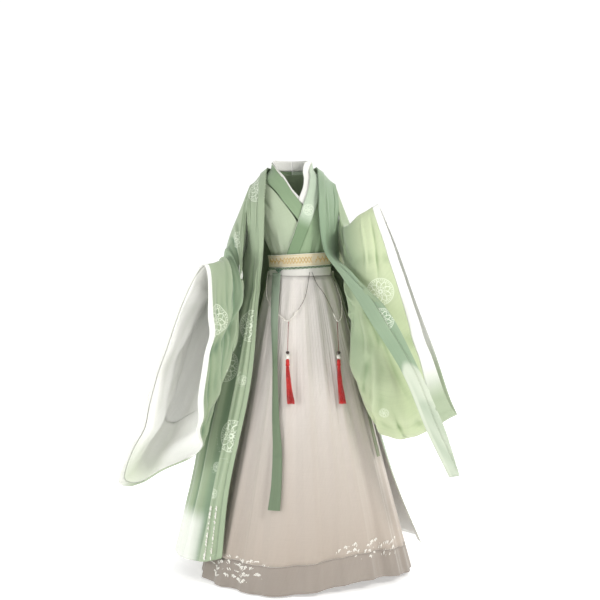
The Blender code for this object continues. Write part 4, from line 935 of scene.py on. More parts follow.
def robe_body(rows):
    """Surface of one body piece: u from its front edge and centre back to its side, v from hem to hem."""
    columns = list(zip(*rows))
    inner, outer = edge(columns[0], (NECK_BACK,)), edge(columns[3], (ARMPIT_FRONT, ARMPIT_BACK))
    middle = [edge(columns[k], ()) for k in (1, 2)]
    return lambda u, v: smooth_line([inner(v), middle[0](v), middle[1](v), outer(v)], u), outer


def sleeve(rows, armhole):
    """Surface of a sleeve: u round it from the top of the arm down the front, v from armhole to mouth."""
    half = SHOULDER - ARMPIT_FRONT

    def surface(u, v):
        u = u % 1.0
        row = np.where(u <= 0.5, SHOULDER - 2 * half * u, ARMPIT_BACK + half - 2 * half * u)
        rings = [armhole(row / LAST_ROW)] + [smooth_line(section, u, closed=True) for section in rows]
        return smooth_line(rings, v)

    return surface


def banded(body):
    """The body piece with its first quarter across set to the width of the front band."""

    def surface(s, v):
        marks = [body(np.full(len(v), k / 6), v) for k in range(7)]
        width = sum(np.linalg.norm(b - a, axis=1) for a, b in zip(marks, marks[1:]))
        band = np.minimum(FRONT_BAND / width, 0.45)
        rest = band + (s - BAND_SHARE) / (1 - BAND_SHARE) * (1 - band)
        u = np.where(s < BAND_SHARE, s / BAND_SHARE * band, rest)
        return body(0.002 + 0.996 * u, v)

    return surface


# Round marks: u, v, radius, leaves
BIG, SMALL = 0.055, 0.017
MARKS_BODY_RIGHT = (
    (0.319, 0.169, BIG, 9), (0.681, 0.138, BIG, 9), (0.331, 0.094, BIG, 9), (0.244, 0.450, 0.048, 9),
    (0.330, 0.130, SMALL, 6), (0.537, 0.075, SMALL, 6), (0.438, 0.056, SMALL, 6),
    (0.500, 0.640, BIG, 9), (0.350, 0.760, BIG, 9), (0.680, 0.850, BIG, 9), (0.300, 0.900, SMALL, 6),
)
MARKS_BODY_LEFT = (
    (0.206, 0.188, 0.040, 9), (0.480, 0.650, BIG, 9), (0.620, 0.770, BIG, 9),
    (0.350, 0.860, BIG, 9), (0.700, 0.920, SMALL, 6),
)
MARKS_SLEEVE_RIGHT = (
    (0.138, 0.905, BIG, 9), (0.044, 0.356, 0.030, 7), (0.300, 0.620, SMALL, 6), (0.620, 0.750, BIG, 9),
    (0.780, 0.480, BIG, 9), (0.880, 0.800, SMALL, 6),
)
MARKS_SLEEVE_LEFT = (
    (0.181, 0.850, 0.046, 9), (0.388, 0.738, SMALL, 6), (0.640, 0.720, BIG, 9), (0.800, 0.450, BIG, 9),
    (0.880, 0.820, SMALL, 6),
)
# Creases: from u, v, to u, v, how far the line bows, half width and depth in metres
CREASES_BODY_RIGHT = (
    (0.32, 0.25, 0.3, -0.04, 0.01, 0.012, 0.008), (0.42, 0.24, 0.44, -0.04, -0.008, 0.014, -0.009),
    (0.55, 0.22, 0.58, -0.04, 0.012, 0.013, 0.008), (0.7, 0.2, 0.74, -0.04, -0.01, 0.016, -0.01),
    (0.86, 0.2, 0.88, -0.04, 0.008, 0.014, 0.007), (0.8, 0.48, 0.72, 0.34, 0.012, 0.009, -0.005),
    (0.92, 0.44, 0.84, 0.33, 0.01, 0.01, 0.005), (0.4, 0.45, 0.46, 0.32, -0.006, 0.01, 0.003),
    (0.14, 0.66, 0.1, 1.04, 0.01, 0.016, 0.009), (0.28, 0.64, 0.27, 1.04, -0.012, 0.018, -0.011),
    (0.44, 0.67, 0.43, 1.04, 0.014, 0.015, 0.01), (0.58, 0.7, 0.6, 1.04, -0.008, 0.017, -0.009),
    (0.76, 0.68, 0.78, 1.04, 0.012, 0.016, 0.009), (0.3, 0.56, 0.36, 0.66, 0.004, 0.01, 0.004),
    (0.86, 0.19, 0.89, 0.345, 0.0, 0.032, 0.018),
)
CREASES_BODY_LEFT = (
    (0.62, 0.29, 0.58, -0.04, 0.004, 0.006, 0.0035), (0.42, 0.26, 0.5, -0.02, -0.004, 0.005, -0.003),
    (0.2, 0.105, 0.7, 0.09, 0.001, 0.004, 0.002), (0.1, 0.085, 0.6, 0.078, 0.001, 0.004, -0.0018),
    (0.3, 0.066, 0.8, 0.058, 0.001, 0.004, 0.002), (0.1, 0.05, 0.55, 0.036, 0.001, 0.004, -0.002),
    (0.3, 0.03, 0.9, 0.022, 0.001, 0.004, 0.002), (0.2, 0.016, 0.7, 0.008, 0.001, 0.004, -0.0016),
    (0.3, 0.235, 0.75, 0.215, 0.002, 0.006, 0.0026), (0.8, 0.48, 0.72, 0.34, 0.012, 0.009, -0.005),
    (0.4, 0.45, 0.46, 0.32, -0.006, 0.01, 0.003), (0.16, 0.66, 0.12, 1.04, 0.01, 0.016, 0.009),
    (0.3, 0.66, 0.28, 1.04, -0.012, 0.018, -0.01), (0.46, 0.69, 0.45, 1.04, 0.012, 0.015, 0.009),
    (0.66, 0.68, 0.68, 1.04, -0.008, 0.017, -0.009), (0.84, 0.68, 0.86, 1.04, 0.01, 0.014, 0.008),
    (0.95, 0.665, 0.97, 0.86, 0.0, 0.03, 0.013), (0.93, 0.22, 0.93, 0.35, 0.0, 0.028, 0.009),
)
CREASES_SLEEVE_RIGHT = (
    (0.02, 0.95, 0.42, 0.88, 0.01, 0.013, 0.007), (0.03, 0.84, 0.44, 0.76, -0.01, 0.016, -0.009),
    (0.05, 0.72, 0.42, 0.63, 0.01, 0.013, 0.008), (0.06, 0.62, 0.38, 0.52, -0.008, 0.014, -0.008),
    (-0.08, 0.5, 0.17, 0.68, 0.016, 0.012, 0.011), (-0.08, 0.45, 0.18, 0.61, 0.018, 0.01, -0.01),
    (-0.07, 0.4, 0.19, 0.54, 0.018, 0.012, 0.011), (-0.06, 0.34, 0.2, 0.46, 0.016, 0.01, -0.009),
    (-0.05, 0.28, 0.2, 0.38, 0.012, 0.012, 0.008), (0.1, 0.56, 0.26, 0.66, -0.006, 0.012, -0.01),
    (0.16, 0.48, 0.3, 0.6, -0.006, 0.012, 0.009), (0.03, 0.0, 0.1, 0.34, 0.006, 0.009, 0.006),
    (0.08, 0.0, 0.15, 0.32, 0.006, 0.01, -0.007), (0.14, -0.02, 0.22, 0.3, 0.006, 0.01, 0.006),
    (0.96, 0.84, 0.62, 0.94, 0.02, 0.02, 0.01), (0.93, 0.62, 0.6, 0.74, -0.02, 0.024, -0.012),
    (0.9, 0.42, 0.58, 0.52, 0.015, 0.02, 0.01), (0.4, 0.9, 0.6, 0.96, 0.004, 0.016, 0.006),
    (0.36, 0.66, 0.58, 0.7, 0.004, 0.018, -0.008), (0.96, 0.2, 0.7, 0.3, 0.01, 0.014, -0.006),
)
CREASES_SLEEVE_LEFT = (
    (0.2, 0.6, 0.14, 0.36, 0.008, 0.008, 0.009), (0.2, 0.59, 0.27, 0.4, -0.008, 0.008, -0.009),
    (0.2, 0.58, 0.18, 0.34, 0.004, 0.007, -0.008), (0.2, 0.6, 0.23, 0.4, 0.006, 0.007, 0.008),
    (0.2, 0.6, 0.31, 0.6, 0.012, 0.009, 0.01), (0.2, 0.62, 0.29, 0.7, 0.01, 0.01, -0.009),
    (0.27, 0.66, 0.4, 0.6, 0.015, 0.012, 0.012), (0.27, 0.62, 0.38, 0.52, 0.012, 0.012, -0.009),
    (0.2, 0.68, 0.38, 0.86, -0.015, 0.016, -0.009), (0.02, 0.88, 0.18, 0.78, 0.008, 0.01, -0.006),
    (0.01, 0.78, 0.16, 0.68, 0.008, 0.009, 0.006), (0.04, 0.98, 0.34, 0.92, 0.006, 0.01, 0.005),
    (0.34, 0.6, 0.56, 0.62, 0.004, 0.016, 0.01), (0.36, 0.74, 0.55, 0.78, 0.004, 0.013, -0.011),
    (0.36, 0.86, 0.54, 0.91, 0.004, 0.014, 0.008), (0.95, 0.8, 0.62, 0.92, 0.015, 0.02, 0.009),
    (0.92, 0.6, 0.6, 0.72, -0.015, 0.022, -0.01), (0.9, 0.4, 0.58, 0.5, 0.01, 0.018, 0.009),
    (0.97, 0.22, 0.72, 0.3, 0.01, 0.013, -0.006),
)


def white_hem_right(u, v):
    """Share of white on the right body piece: the outer corner of its front hem and the lower back."""
    return 0.9 * eased((u - 0.52) / 0.14) * eased((0.045 - v) / 0.016) + eased((v - 0.90) / 0.06)


def white_strip_left(u, v):
    """Share of pale dye on the folded left front, from below its middle to its tip, and on the lower back."""
    edge_of_dye = 0.128 + 0.010 * np.sin(9 * u)
    inner = 0.62 + 0.22 * np.sin(70 * v + 5 * u) * np.sin(11 * u + 40 * v) + 0.38 * eased((v - 0.088) / 0.01)
    rims = eased((abs(u - 0.5) - 0.38) / 0.06)
    return eased((edge_of_dye - v) / 0.008) * np.maximum(inner, rims) + eased((v - 0.90) / 0.06)


def teal_elbow(u, v):
    """Share of shadow dye on the right sleeve: a bow of it under the elbow, running down the inside."""
    turn = (u + 0.5) % 1 - 0.5
    return 0.6 * hump(v - 0.49 - 0.9 * turn, 0.08) * eased((0.30 - turn) / 0.12) * eased((turn + 0.10) / 0.08)


def green_corner(u, v):
    """Share of green at the lowest corner of the right cuff, where the sleeve's own silk shows."""
    return eased((u - 0.43) / 0.03) * eased((0.60 - u) / 0.04)


def shaded_upper_arm(u, v):
    """Share of deeper dye on the left sleeve, above its sunlit lower half."""
    turn = (u + 0.5) % 1 - 0.5
    return 0.85 * eased((0.44 - abs(turn)) / 0.16) * eased((0.92 - v) / 0.4)


# Rows and columns are closer where the eye falls: on the front of the sleeves and the folded left front.
AROUND = np.concatenate([np.linspace(0, 0.5, 200)[:-1], np.linspace(0.5, 0.94, 85)[:-1], np.linspace(0.94, 1, 25)])
ALONG = np.concatenate([np.linspace(0, 0.3, 150)[:-1], np.linspace(0.3, 0.5, 60)[:-1], np.linspace(0.5, 1, 140)])
robe_surfaces = {}


def faded_cuff_left(u, v):
    """Share of green on the left cuff, from its lower front round the heel to its lower back."""
    return eased((u - 0.30) / 0.10) * eased((0.75 - u) / 0.1)


def lining_shadow(u, v):
    """Share of tint on a sleeve's lining, low on its back layer and stronger towards the mouth."""
    return 0.7 * eased(1 - abs(u - 0.62) / 0.12) * eased((v - 0.2) / 0.5)


def turned_hem(u, v):
    """Share of the robe's own silk on the inside of a body piece: all but its lower back, which is lined."""
    return 1 - eased((v - 0.82) / 0.04)


def turned_armhole(u, v):
    """Share of the sleeve's own silk on its inside: the part round the upper arm."""
    return 1 - eased((v - 0.26) / 0.08)


# What differs between the sides. Out is the side of the surface that shows, and lining says how many
# eighths down the sleeve its lining starts.
SIDES = {
    "right": {
        "body": (ROBE_RIGHT, FOLDS_ROBE_RIGHT, CREASES_BODY_RIGHT, MARKS_BODY_RIGHT, white_hem_right),
        "sleeve": (SLEEVE_RIGHT, FOLDS_SLEEVE_RIGHT, CREASES_SLEEVE_RIGHT, MARKS_SLEEVE_RIGHT, teal_elbow),
        "cuff": green_corner, "out": -1, "lining": 5,
    },
    "left": {
        "body": (ROBE_LEFT, FOLDS_ROBE_LEFT, CREASES_BODY_LEFT, MARKS_BODY_LEFT, white_strip_left),
        "sleeve": (SLEEVE_LEFT, FOLDS_SLEEVE_LEFT, CREASES_SLEEVE_LEFT, MARKS_SLEEVE_LEFT, shaded_upper_arm),
        "cuff": faded_cuff_left, "out": 1, "lining": 6,
    },
}


def make_side(side, body, sleeve_tables, cuff, out, lining_from):
    """The five pieces of one side, each laid on the body's or the sleeve's surface."""
    rows, folds, creases, marks, fade = body
    plain, armhole = robe_body(rows)
    relief = summed(fold_height(folds), crease_height(creases, 0.45, 2.9), ripple(0.45, 2.9, 0.22, 0.0012, 4))
    panel = banded(raised(plain, relief, out))
    lined = {"out": out, "lining": "body_lining_silk"}
    cloth(f"robe_silk_{side}", panel, 96, ALONG, CLOTH_WALL, "robe_cloth", f"robe_silk_{side}",
          f"robe_body_{side}", fade=fade, marks=marks, marks_front=1, turned_back=turned_hem, **lined)
    band_end = NECK_BACK / LAST_ROW
    band = cut(raised(panel, BAND_OUT, out), 0, BAND_SHARE, 0, band_end)
    cloth(f"front_band_silk_{side}", band, 8, 200, CLOTH_WALL, "robe_cloth", f"front_band_silk_{side}",
          f"robe_front_band_{side}", fade=lambda u, v: fade(u * BAND_SHARE, v * band_end))

    rows, folds, creases, marks, sleeve_fade = sleeve_tables
    relief = summed(fold_height(folds), crease_height(creases, 1.5, 0.75, closed=True),
                    ripple(1.5, 0.75, 0.20, 0.0012, 9))
    whole = raised(sleeve(rows, armhole), relief, out)
    robe_surfaces[side] = (panel, whole, out)
    cloth(f"sleeve_silk_{side}", cut(whole, 0, 1, SLEEVE_SEAM, CUFF_SEAM), AROUND, 140, CLOTH_WALL, "robe_cloth",
          f"sleeve_silk_{side}", f"sleeve_{side}", closed=True, fade=sleeve_fade, marks=marks,
          turned_back=turned_armhole, **lined)
    cloth(f"cuff_cotton_{side}", cut(whole, 0, 1, CUFF_SEAM + 0.003, 1), AROUND, 10, CLOTH_WALL, "white_cloth",
          "cuff_cotton", f"cuff_border_{side}", closed=True, fade=cuff)
    start = SLEEVE_SEAM + (CUFF_SEAM - SLEEVE_SEAM) * lining_from / 8
    inside = cut(raised(whole, LINING_IN, -out), 0, 1, start, CUFF_SEAM)
    cloth(f"lining_silk_{side}", inside, AROUND, 50, CLOTH_WALL, "white_cloth", "lining_silk",
          f"sleeve_lining_{side}", closed=True, fade=lining_shadow)


for side, given_side in SIDES.items():
    make_side(side, *(given_side[key] for key in ("body", "sleeve", "cuff", "out", "lining")))

# %% [markdown]
# A ribbon belt of braided silk goes round just under the sash. A braid is a rule, so it is made as one:
# three strands follow the same path, and each swings from side to side and in and out with its own phase.
# A thin tube along each strand gives the real crossings, which a bump could only hint at.

# %% Tubes along a path
def tube(points, radius, sides=8, closed=False):
    """Rings of points round a path, and the faces between them; radius is a number or one for each point."""
    points = np.asarray(points, float)
    if closed:
        way = unit(np.roll(points, -1, axis=0) - np.roll(points, 1, axis=0))
    else:
        way = unit(np.gradient(points, axis=0))
    side = unit(np.cross(way, np.where(np.abs(way[:, 2:]) > 0.9, (0.0, 1.0, 0.0), (0.0, 0.0, 1.0))))
    other = np.cross(way, side)
    turn = np.linspace(0, 2 * pi, sides, endpoint=False)
    reach = np.broadcast_to(radius, len(points))[:, None, None]
    spokes = side[:, None] * np.cos(turn)[:, None] + other[:, None] * np.sin(turn)[:, None]
    n = len(points)
    i, j = (x.ravel() for x in np.meshgrid(np.arange(n if closed else n - 1), np.arange(sides), indexing="ij"))
    this, after, beside = i * sides, (i + 1) % n * sides, (j + 1) % sides
    faces = np.stack([after + j, after + beside, this + beside, this + j], axis=1).tolist()
    if not closed:
        faces += [list(range(sides)), [(n - 1) * sides + k for k in reversed(range(sides))]]
    return (points[:, None] + reach * spokes).reshape(-1, 3), faces


def piece_from(name, shapes, material, replaces=None):
    """One piece from several shapes, each a pair of points and faces."""
    points, faces, start = [], [], 0
    for shape_points, shape_faces in shapes:
        points.append(np.asarray(shape_points, float))
        faces += [[start + k for k in face] for face in shape_faces]
        start += len(shape_points)
    mesh = bpy.data.meshes.new(name)
    mesh.from_pydata(np.concatenate(points).tolist(), [], faces)
    mesh.shade_smooth()
    mesh.materials.append(finish[material])
    print(f"{name}: {len(faces)} faces")
    return put_in_scene(name, mesh, replaces)

# %% Thread and bead finishes
def two_tones(tree, shader, mask, light, dark):
    """Two colours in the shader, by a noise."""
    spread = node(tree, "ShaderNodeMapRange", {"Value": mask, "From Min": 0.35, "From Max": 0.65}).outputs[0]
    tree.links.new(blend(tree, spread, (*dark, 1), (*light, 1)), shader.inputs["Base Color"])


def thread_material(name, light, dark, roughness, sheen, fine=900.0):
    """Spun thread: fine streaks of two tones on Object coordinates, as an own UV would be too much for it."""
    made, tree, shader = new_material(name)
    make, work = tools(tree)
    place = make("ShaderNodeTexCoord").outputs["Object"]
    noise = {"Vector": place, "Scale": fine, "Detail": 3.0, "Roughness": 0.6}
    fibres = make("ShaderNodeTexNoise", noise).outputs[0]
    patches = make("ShaderNodeTexNoise", {"Vector": place, "Scale": 45.0, "Detail": 2.0}).outputs[0]
    two_tones(tree, shader, work("MULTIPLY_ADD", patches, 0.5, work("MULTIPLY", fibres, 0.5)), light, dark)
    coats = {"Sheen Weight": sheen, "Sheen Roughness": 0.4}
    finish_surface(tree, shader, fibres, roughness - 0.1, roughness + 0.1, fibres, 0.4, 0.0003, coats)
    return made


def bead_material(name, light, dark, roughness, coat):
    """Polished bead: cloudy stone or wood under a thin clear coat, a little duller where hands wear it."""
    made, tree, shader = new_material(name)
    place = node(tree, "ShaderNodeTexCoord").outputs["Object"]
    noise = {"Vector": place, "Scale": 260.0, "Detail": 4.0, "Distortion": 0.6}
    cloud = node(tree, "ShaderNodeTexNoise", noise).outputs[0]
    two_tones(tree, shader, cloud, light, dark)
    coats = {"Coat Weight": coat, "Coat Roughness": 0.15}
    finish_surface(tree, shader, cloud, roughness, roughness + 0.2, cloud, 0.15, 0.0003, coats)
    return made


TRIMS = {  # name: how it is made, light and dark colour, roughness, sheen or coat, and how fine it is spun
    "braid_pale_green": (thread_material, (196, 208, 176), (150, 170, 138), 0.5, 0.3),
    "braid_dark_green": (thread_material, (92, 120, 96), (62, 88, 70), 0.5, 0.3),
    "gold_thread": (thread_material, (222, 190, 112), (178, 140, 70), 0.35, 0.1, 1400.0),
    "red_silk": (thread_material, (226, 44, 36), (168, 16, 20), 0.45, 0.4),
    "cord_silk": (thread_material, (170, 52, 54), (120, 26, 34), 0.5, 0.3),
    "piping_cotton": (thread_material, (238, 238, 226), (208, 214, 196), 0.65, 0.3),
    "stitch_cotton": (thread_material, (228, 234, 218), (196, 206, 184), 0.6, 0.3),
    "white_bead": (bead_material, (250, 248, 242), (196, 188, 174), 0.15, 0.6),
    "dark_bead": (bead_material, (74, 52, 44), (34, 22, 20), 0.2, 0.5),
    "tan_bead": (bead_material, (150, 118, 92), (96, 72, 56), 0.25, 0.4),
    "lace_cotton": (thread_material, (252, 250, 244), (232, 228, 218), 0.6, 0.3),
}
for name, (kind, light, dark, *feel) in TRIMS.items():
    finish[name] = kind(name, srgb(*light), srgb(*dark), *feel)
print("finishes:", len(finish))

# %% Braided belt
BRAID_SWING, BRAID_DEPTH, STRAND = 0.0024, 0.0007, 0.00125  # up and down, in and out, radius


def braid_strand(phase, turns, steps):
    """The path of one strand round the waist."""
    share = np.linspace(0, 1, steps, endpoint=False)
    wave = 2 * pi * (turns * share + phase)
    z = BELT_Z + SASH_RISE * np.cos(2 * pi * share) + BRAID_SWING * np.sin(wave)
    return on_figure(360 * share, z, BELT_OUT + BRAID_DEPTH * np.cos(2 * wave))


strands = [tube(braid_strand(k / 3, 44, 900), STRAND, 6, closed=True) for k in range(3)]
piece_from("belt_braid_dark", strands[:2], "braid_dark_green", "belt_ribbon")
piece_from("belt_braid_pale", strands[2:], "braid_pale_green", "belt_ribbon")

# %% [markdown]
# Gold thread is laid on the sash and held down by tiny stitches, which real embroiderers call couching.
# The drawing is an old one: a chain of diamonds for water, and a line of hills beside it. Each line is a
# few corners on a grid of its own, repeated round the waist, so the whole border is a handful of numbers.

# %% Couched gold on the sash
DIAMONDS_UP = ((0, 0), (1, 1), (2, 0), (3, -1))
HILLS = ((0, -1), (0.7, 0.1), (1.1, -0.4), (1.8, 1.0), (2.5, -0.2), (3.1, 0.3), (3.6, -1))
STEP, RISE, GOLD = 2.9, 0.0120, 0.0010  # degrees to a step of the drawing, its half height, the thread's radius
SASH_MIDDLE = (SASH_TOP + SASH_BOTTOM) / 2


def couched(corners, period, start, repeats, flip=1):
    """A line through the corners, repeated round the sash, as points just above its cloth."""
    marks = [(x + period * k, y * flip) for k in range(repeats) for x, y in corners]
    x, y = np.array(marks).T
    corner = np.arange(len(x))
    share = np.linspace(0, len(x) - 1, len(x) * 6)
    angle = start + STEP * np.interp(share, corner, x)
    middle = SASH_MIDDLE + SASH_RISE * np.cos(np.radians(angle))
    return on_figure(angle, middle + RISE * np.interp(share, corner, y), SASH_OUT + 0.0013)


def round_sash(z, count, out):
    """Points round the sash at this height."""
    angle = np.linspace(0, 360, count)
    return on_figure(angle, z + SASH_RISE * np.cos(np.linspace(0, 2 * pi, count)), SASH_OUT + out)


GOLD_LINES = (  # corners, period, where it starts in degrees, repeats, flip
    (DIAMONDS_UP, 4, -122, 5, 1), (DIAMONDS_UP, 4, -122, 5, -1), (HILLS, 3.6, -60, 4, 1),
    (HILLS, 3.6, -164, 4, 1), (DIAMONDS_UP, 4, 60, 5, 1), (DIAMONDS_UP, 4, 60, 5, -1),
)
gold = [tube(couched(*row), GOLD, 5) for row in GOLD_LINES]
embroidery = piece_from("sash_embroidery", gold, "gold_thread")
sash_edges = [tube(round_sash(z, 361, 0.0006)[:-1], 0.0010, 6, closed=True) for z in (SASH_TOP, SASH_BOTTOM)]
sash_piping = piece_from("sash_piping", sash_edges, "piping_cotton")

# %% [markdown]
# A thin white cord is sewn along the edges of the collar that show most. It keeps the bias-cut silk from
# stretching, and draws the crossing line from far off.

# %% Piping along the collar's edges
def line_on(surface, u0, v0, u1, v1, count, out, lift=0.0007):
    """Points just over a surface, from one place on it to another."""
    share = np.linspace(0, 1, count)
    return raised(surface, lift, out)(u0 + (u1 - u0) * share, v0 + (v1 - v0) * share)


collar_edges = (line_on(collar_left, 0, 0.02, 0, 0.98, 200, 1, 0.0012),
                line_on(collar_right, 0, 0.02, 0, 0.60, 160, 1, 0.0012))
collar_cords = [tube(line, 0.0009, 6) for line in collar_edges]
collar_piping = piece_from("collar_piping", collar_cords, "piping_cotton")

# %% [markdown]
# The belt is tied on the wearer's right in a small round knot, and its two ends hang down as ribbons. A
# knot of cord is a closed curve that passes over and under itself three times, so a trefoil curve made
# into a tube is the real form and not a picture of it. The ribbons lie a finger's width off the gathers,
# and get the slight cross wrinkles that silk keeps from being tied.

# %% Knot and ribbon tails
turn = np.linspace(0, 2 * pi, 120, endpoint=False)
knot_middle = on_figure(-130, BELT_Z - 0.009, 0.0272)[0]
knot_out = unit(np.array([[knot_middle[0] - 0.03, knot_middle[1], 0]]))[0]
knot_side = np.cross(knot_out, (0, 0, 1))
loops = (  # across, out and up: its size in metres, its wave, and the way it goes
    (0.0031, np.sin(turn) + 2 * np.sin(2 * turn), knot_side),
    (0.0030, np.sin(3 * turn), knot_out),
    (0.0027, np.cos(turn) - 2 * np.cos(2 * turn), np.array((0, 0, 1))),
)
knot_path = knot_middle + sum((far * wave)[:, None] * way for far, wave, way in loops)
knot_shape = tube(knot_path, 0.0024, 10, closed=True)
piece_from("belt_knot_silk", [knot_shape], "braid_dark_green", "belt_knot")

# Ribbon tails: height, left edge and right edge in x
TAIL_FRONT = (
    (-0.3501, -0.06, -0.034), (-0.5, -0.063, -0.04), (-0.655, -0.057, -0.041), (-0.83, -0.056, -0.034),
    (-0.93, -0.053, -0.025), (-1.04, -0.056, -0.025), (-1.123, -0.065, -0.029),
)
# Side tail: height, angle round the skirt, width
TAIL_SIDE = (
    (-0.35, -14, 0.018), (-0.42, -15, 0.02), (-0.56, -18, 0.021), (-0.7, -22, 0.022), (-0.85, -25, 0.022),
    (-0.978, -26, 0.023),
)
TAIL_OUT, TAIL_WALL = 0.0078, 0.0010


def tail_front(u, v):
    """The long tail: u across it, v down it."""
    z, left, right = smooth_line(TAIL_FRONT, v).T
    return on_skirt(skirt_angle(left + (right - left) * u, z), z, TAIL_OUT, gathered=False)


def tail_side(u, v):
    """The shorter tail at the wearer's left side."""
    z, angle, width = smooth_line(TAIL_SIDE, v).T
    spread = width / at_height(SKIRT, z)[0] * 180 / pi
    return on_skirt(angle + spread * (u - 0.5), z, TAIL_OUT, gathered=False)


TAIL_CREASES = (  # from u, v, to u, v, bow, half width, depth
    (-0.2, 0.03, 1.2, 0.07, 0.0, 0.004, -0.0012), (-0.2, 0.1, 1.1, 0.08, 0.001, 0.005, 0.0011),
    (-0.1, 0.21, 1.2, 0.25, 0.0, 0.006, -0.0011), (0.1, 0.33, 1.1, 0.31, 0.001, 0.005, 0.001),
    (-0.2, 0.52, 0.9, 0.56, 0.0, 0.007, -0.001), (0.0, 0.71, 1.2, 0.68, 0.001, 0.006, 0.0011),
    (0.45, 0.05, 0.3, 0.62, 0.001, 0.003, 0.0012), (0.6, 0.4, 0.7, 1.1, 0.0, 0.003, -0.001),
)
front_tail = raised(tail_front, crease_height(TAIL_CREASES, 0.026, 0.80), -1)
side_tail = raised(tail_side, crease_height(TAIL_CREASES, 0.022, 0.64), -1)
cloth("ribbon_tail_front", front_tail, 14, 220, TAIL_WALL, "belt_ribbon", "ribbon_silk",
      "belt_tail_front", fade=lambda u, v: eased((0.34 - v) / 0.2))
cloth("ribbon_tail_side", side_tail, 12, 180, TAIL_WALL, "belt_ribbon", "side_ribbon_silk",
      "belt_tail_side")

# %% [markdown]
# Beads, stitches, lace and tassel strands repeat along a path, and Geometry Nodes are made for that. Each
# tree below takes a line, spaces points along it, puts a small shape on every point, and ends by making
# the copies real and giving them their material. The result is kept as a plain mesh.

# %% Run a Geometry Nodes tree on a path
def geometry_tree(name, inputs):
    """A tree that takes a path, with its inputs, its output and the path as a curve."""
    inputs = {"Path": "Geometry", **inputs, "Material": "Material"}
    tree, given, result = group(name, inputs, {"Made": "Geometry"}, "GeometryNodeTree")
    return tree, given, result, node(tree, "GeometryNodeMeshToCurve", {0: given["Path"]}).outputs[0]


def end_tree(tree, result, geometry, material_socket):
    """The end of every tree: real copies, smooth, with their material."""
    real = node(tree, "GeometryNodeRealizeInstances", {0: geometry}).outputs[0]
    soft = node(tree, "GeometryNodeSetShadeSmooth", {0: real}).outputs[0]
    painted = node(tree, "GeometryNodeSetMaterial", {"Geometry": soft, "Material": material_socket}).outputs[0]
    tree.links.new(painted, result["Made"])


def grown(name, tree, paths, material, values, replaces=None):
    """The tree's result on one or more lines of points, as a plain mesh that rides on the body."""
    values = {**values, "Material": finish[material]}
    points = np.concatenate(paths)
    starts = np.cumsum([0] + [len(path) for path in paths[:-1]])
    edges = [(start + k, start + k + 1) for start, path in zip(starts, paths) for k in range(len(path) - 1)]
    lines = bpy.data.meshes.new(name + "_lines")
    lines.from_pydata(points.tolist(), edges, [])
    source = bpy.data.objects.new(name + "_lines", lines)
    bpy.context.scene.collection.objects.link(source)
    grow = source.modifiers.new("grow", "NODES")
    grow.node_group = tree
    for socket in tree.interface.items_tree:
        if socket.in_out == "INPUT" and socket.name in values:
            grow[socket.identifier] = values[socket.name]
    bpy.context.view_layer.update()
    mesh = bpy.data.meshes.new_from_object(source.evaluated_get(bpy.context.evaluated_depsgraph_get()))
    bpy.data.objects.remove(source, do_unlink=True)
    mesh.name = name
    print(f"{name}: {len(mesh.polygons)} faces")
    return put_in_scene(name, mesh, replaces)


def chance_in(tree, low, high, seed, each=None):
    """A random value from low to high for each copy; each may say by which number a copy is known."""
    inputs = {2: low, 3: high, 8: seed}
    if each is not None:
        inputs[7] = each
    return node(tree, "FunctionNodeRandomValue", inputs, data_type="FLOAT").outputs[1]

# %% Tree for things on a line
sizes = {"Spacing": 0.005, "Length": 0.004, "Width": 0.004, "Uneven": 0.08, "Seed": 1}
strung, given, result, line = geometry_tree("strung_on_a_line", sizes)
make, work = tools(strung)
spaced = make("GeometryNodeResampleCurve", {0: line, "Length": given["Spacing"]}, mode="LENGTH").outputs[0]
bead = make("GeometryNodeMeshUVSphere", {"Segments": 8, "Rings": 6, "Radius": 0.5}).outputs[0]
tangent = make("GeometryNodeInputTangent").outputs[0]
facing = make("FunctionNodeAlignRotationToVector", {"Vector": tangent}, axis="Z").outputs[0]
size = make("ShaderNodeCombineXYZ", {0: given["Width"], 1: given["Width"], 2: given["Length"]}).outputs[0]
limits = [work(operation, 1.0, given["Uneven"]) for operation in ("SUBTRACT", "ADD")]
chance = chance_in(strung, *limits, given["Seed"])
scaled = make("ShaderNodeVectorMath", {0: size, 3: chance}, operation="SCALE").outputs[0]
on_line = make("GeometryNodeInstanceOnPoints", {0: spaced, 2: bead, 5: facing, 6: scaled}).outputs[0]
end_tree(strung, result, on_line, given["Material"])
print("tree:", strung.name)

# %% [markdown]
# Running stitches are beads too, only long and thin ones that lie flat. They show where one piece of cloth
# is sewn to another: inside the front bands, round the cuffs, and along the sash and the skirt's hem seams.
# At those hem seams a thin cord is sewn over the join as well.

# %% Running stitches
robe_seams, cuff_seams = [], []
for panel, whole, out in robe_surfaces.values():
    inside_band = BAND_SHARE + 0.008
    robe_seams.append(line_on(panel, inside_band, 0.003, inside_band, NECK_BACK / LAST_ROW, 500, out))
    robe_seams += [line_on(panel, 0.03, v, 0.99, v, 120, out) for v in (0.0045, 0.9955)]
    cuff_seams.append(line_on(whole, 0, CUFF_SEAM - 0.006, 1, CUFF_SEAM - 0.006, 600, out))
stitch = {"Spacing": 0.0062, "Length": 0.0038, "Width": 0.0007}
robe_stitches = grown("robe_stitches", strung, robe_seams, "stitch_cotton", stitch)
cuff_stitches = grown("cuff_stitches", strung, cuff_seams, "stitch_cotton", {**stitch, "Seed": 2})
hem_seams = [line_on(skirt_surface, 0, v, 1, v, 900, 1) for v in (split - 0.003, split + 0.006, 0.994)]
skirt_stitches = grown("skirt_stitches", strung, hem_seams, "piping_cotton", {**stitch, "Seed": 3})
hem_cords = [line_on(skirt_surface, 0, v, 1, v, 721, 1, 0.0010)[:-1] for v in (split, 0.980)]
hem_cords = [tube(line, 0.0011, 6, closed=True) for line in hem_cords]
hem_piping = piece_from("hem_piping", hem_cords, "lace_cotton")
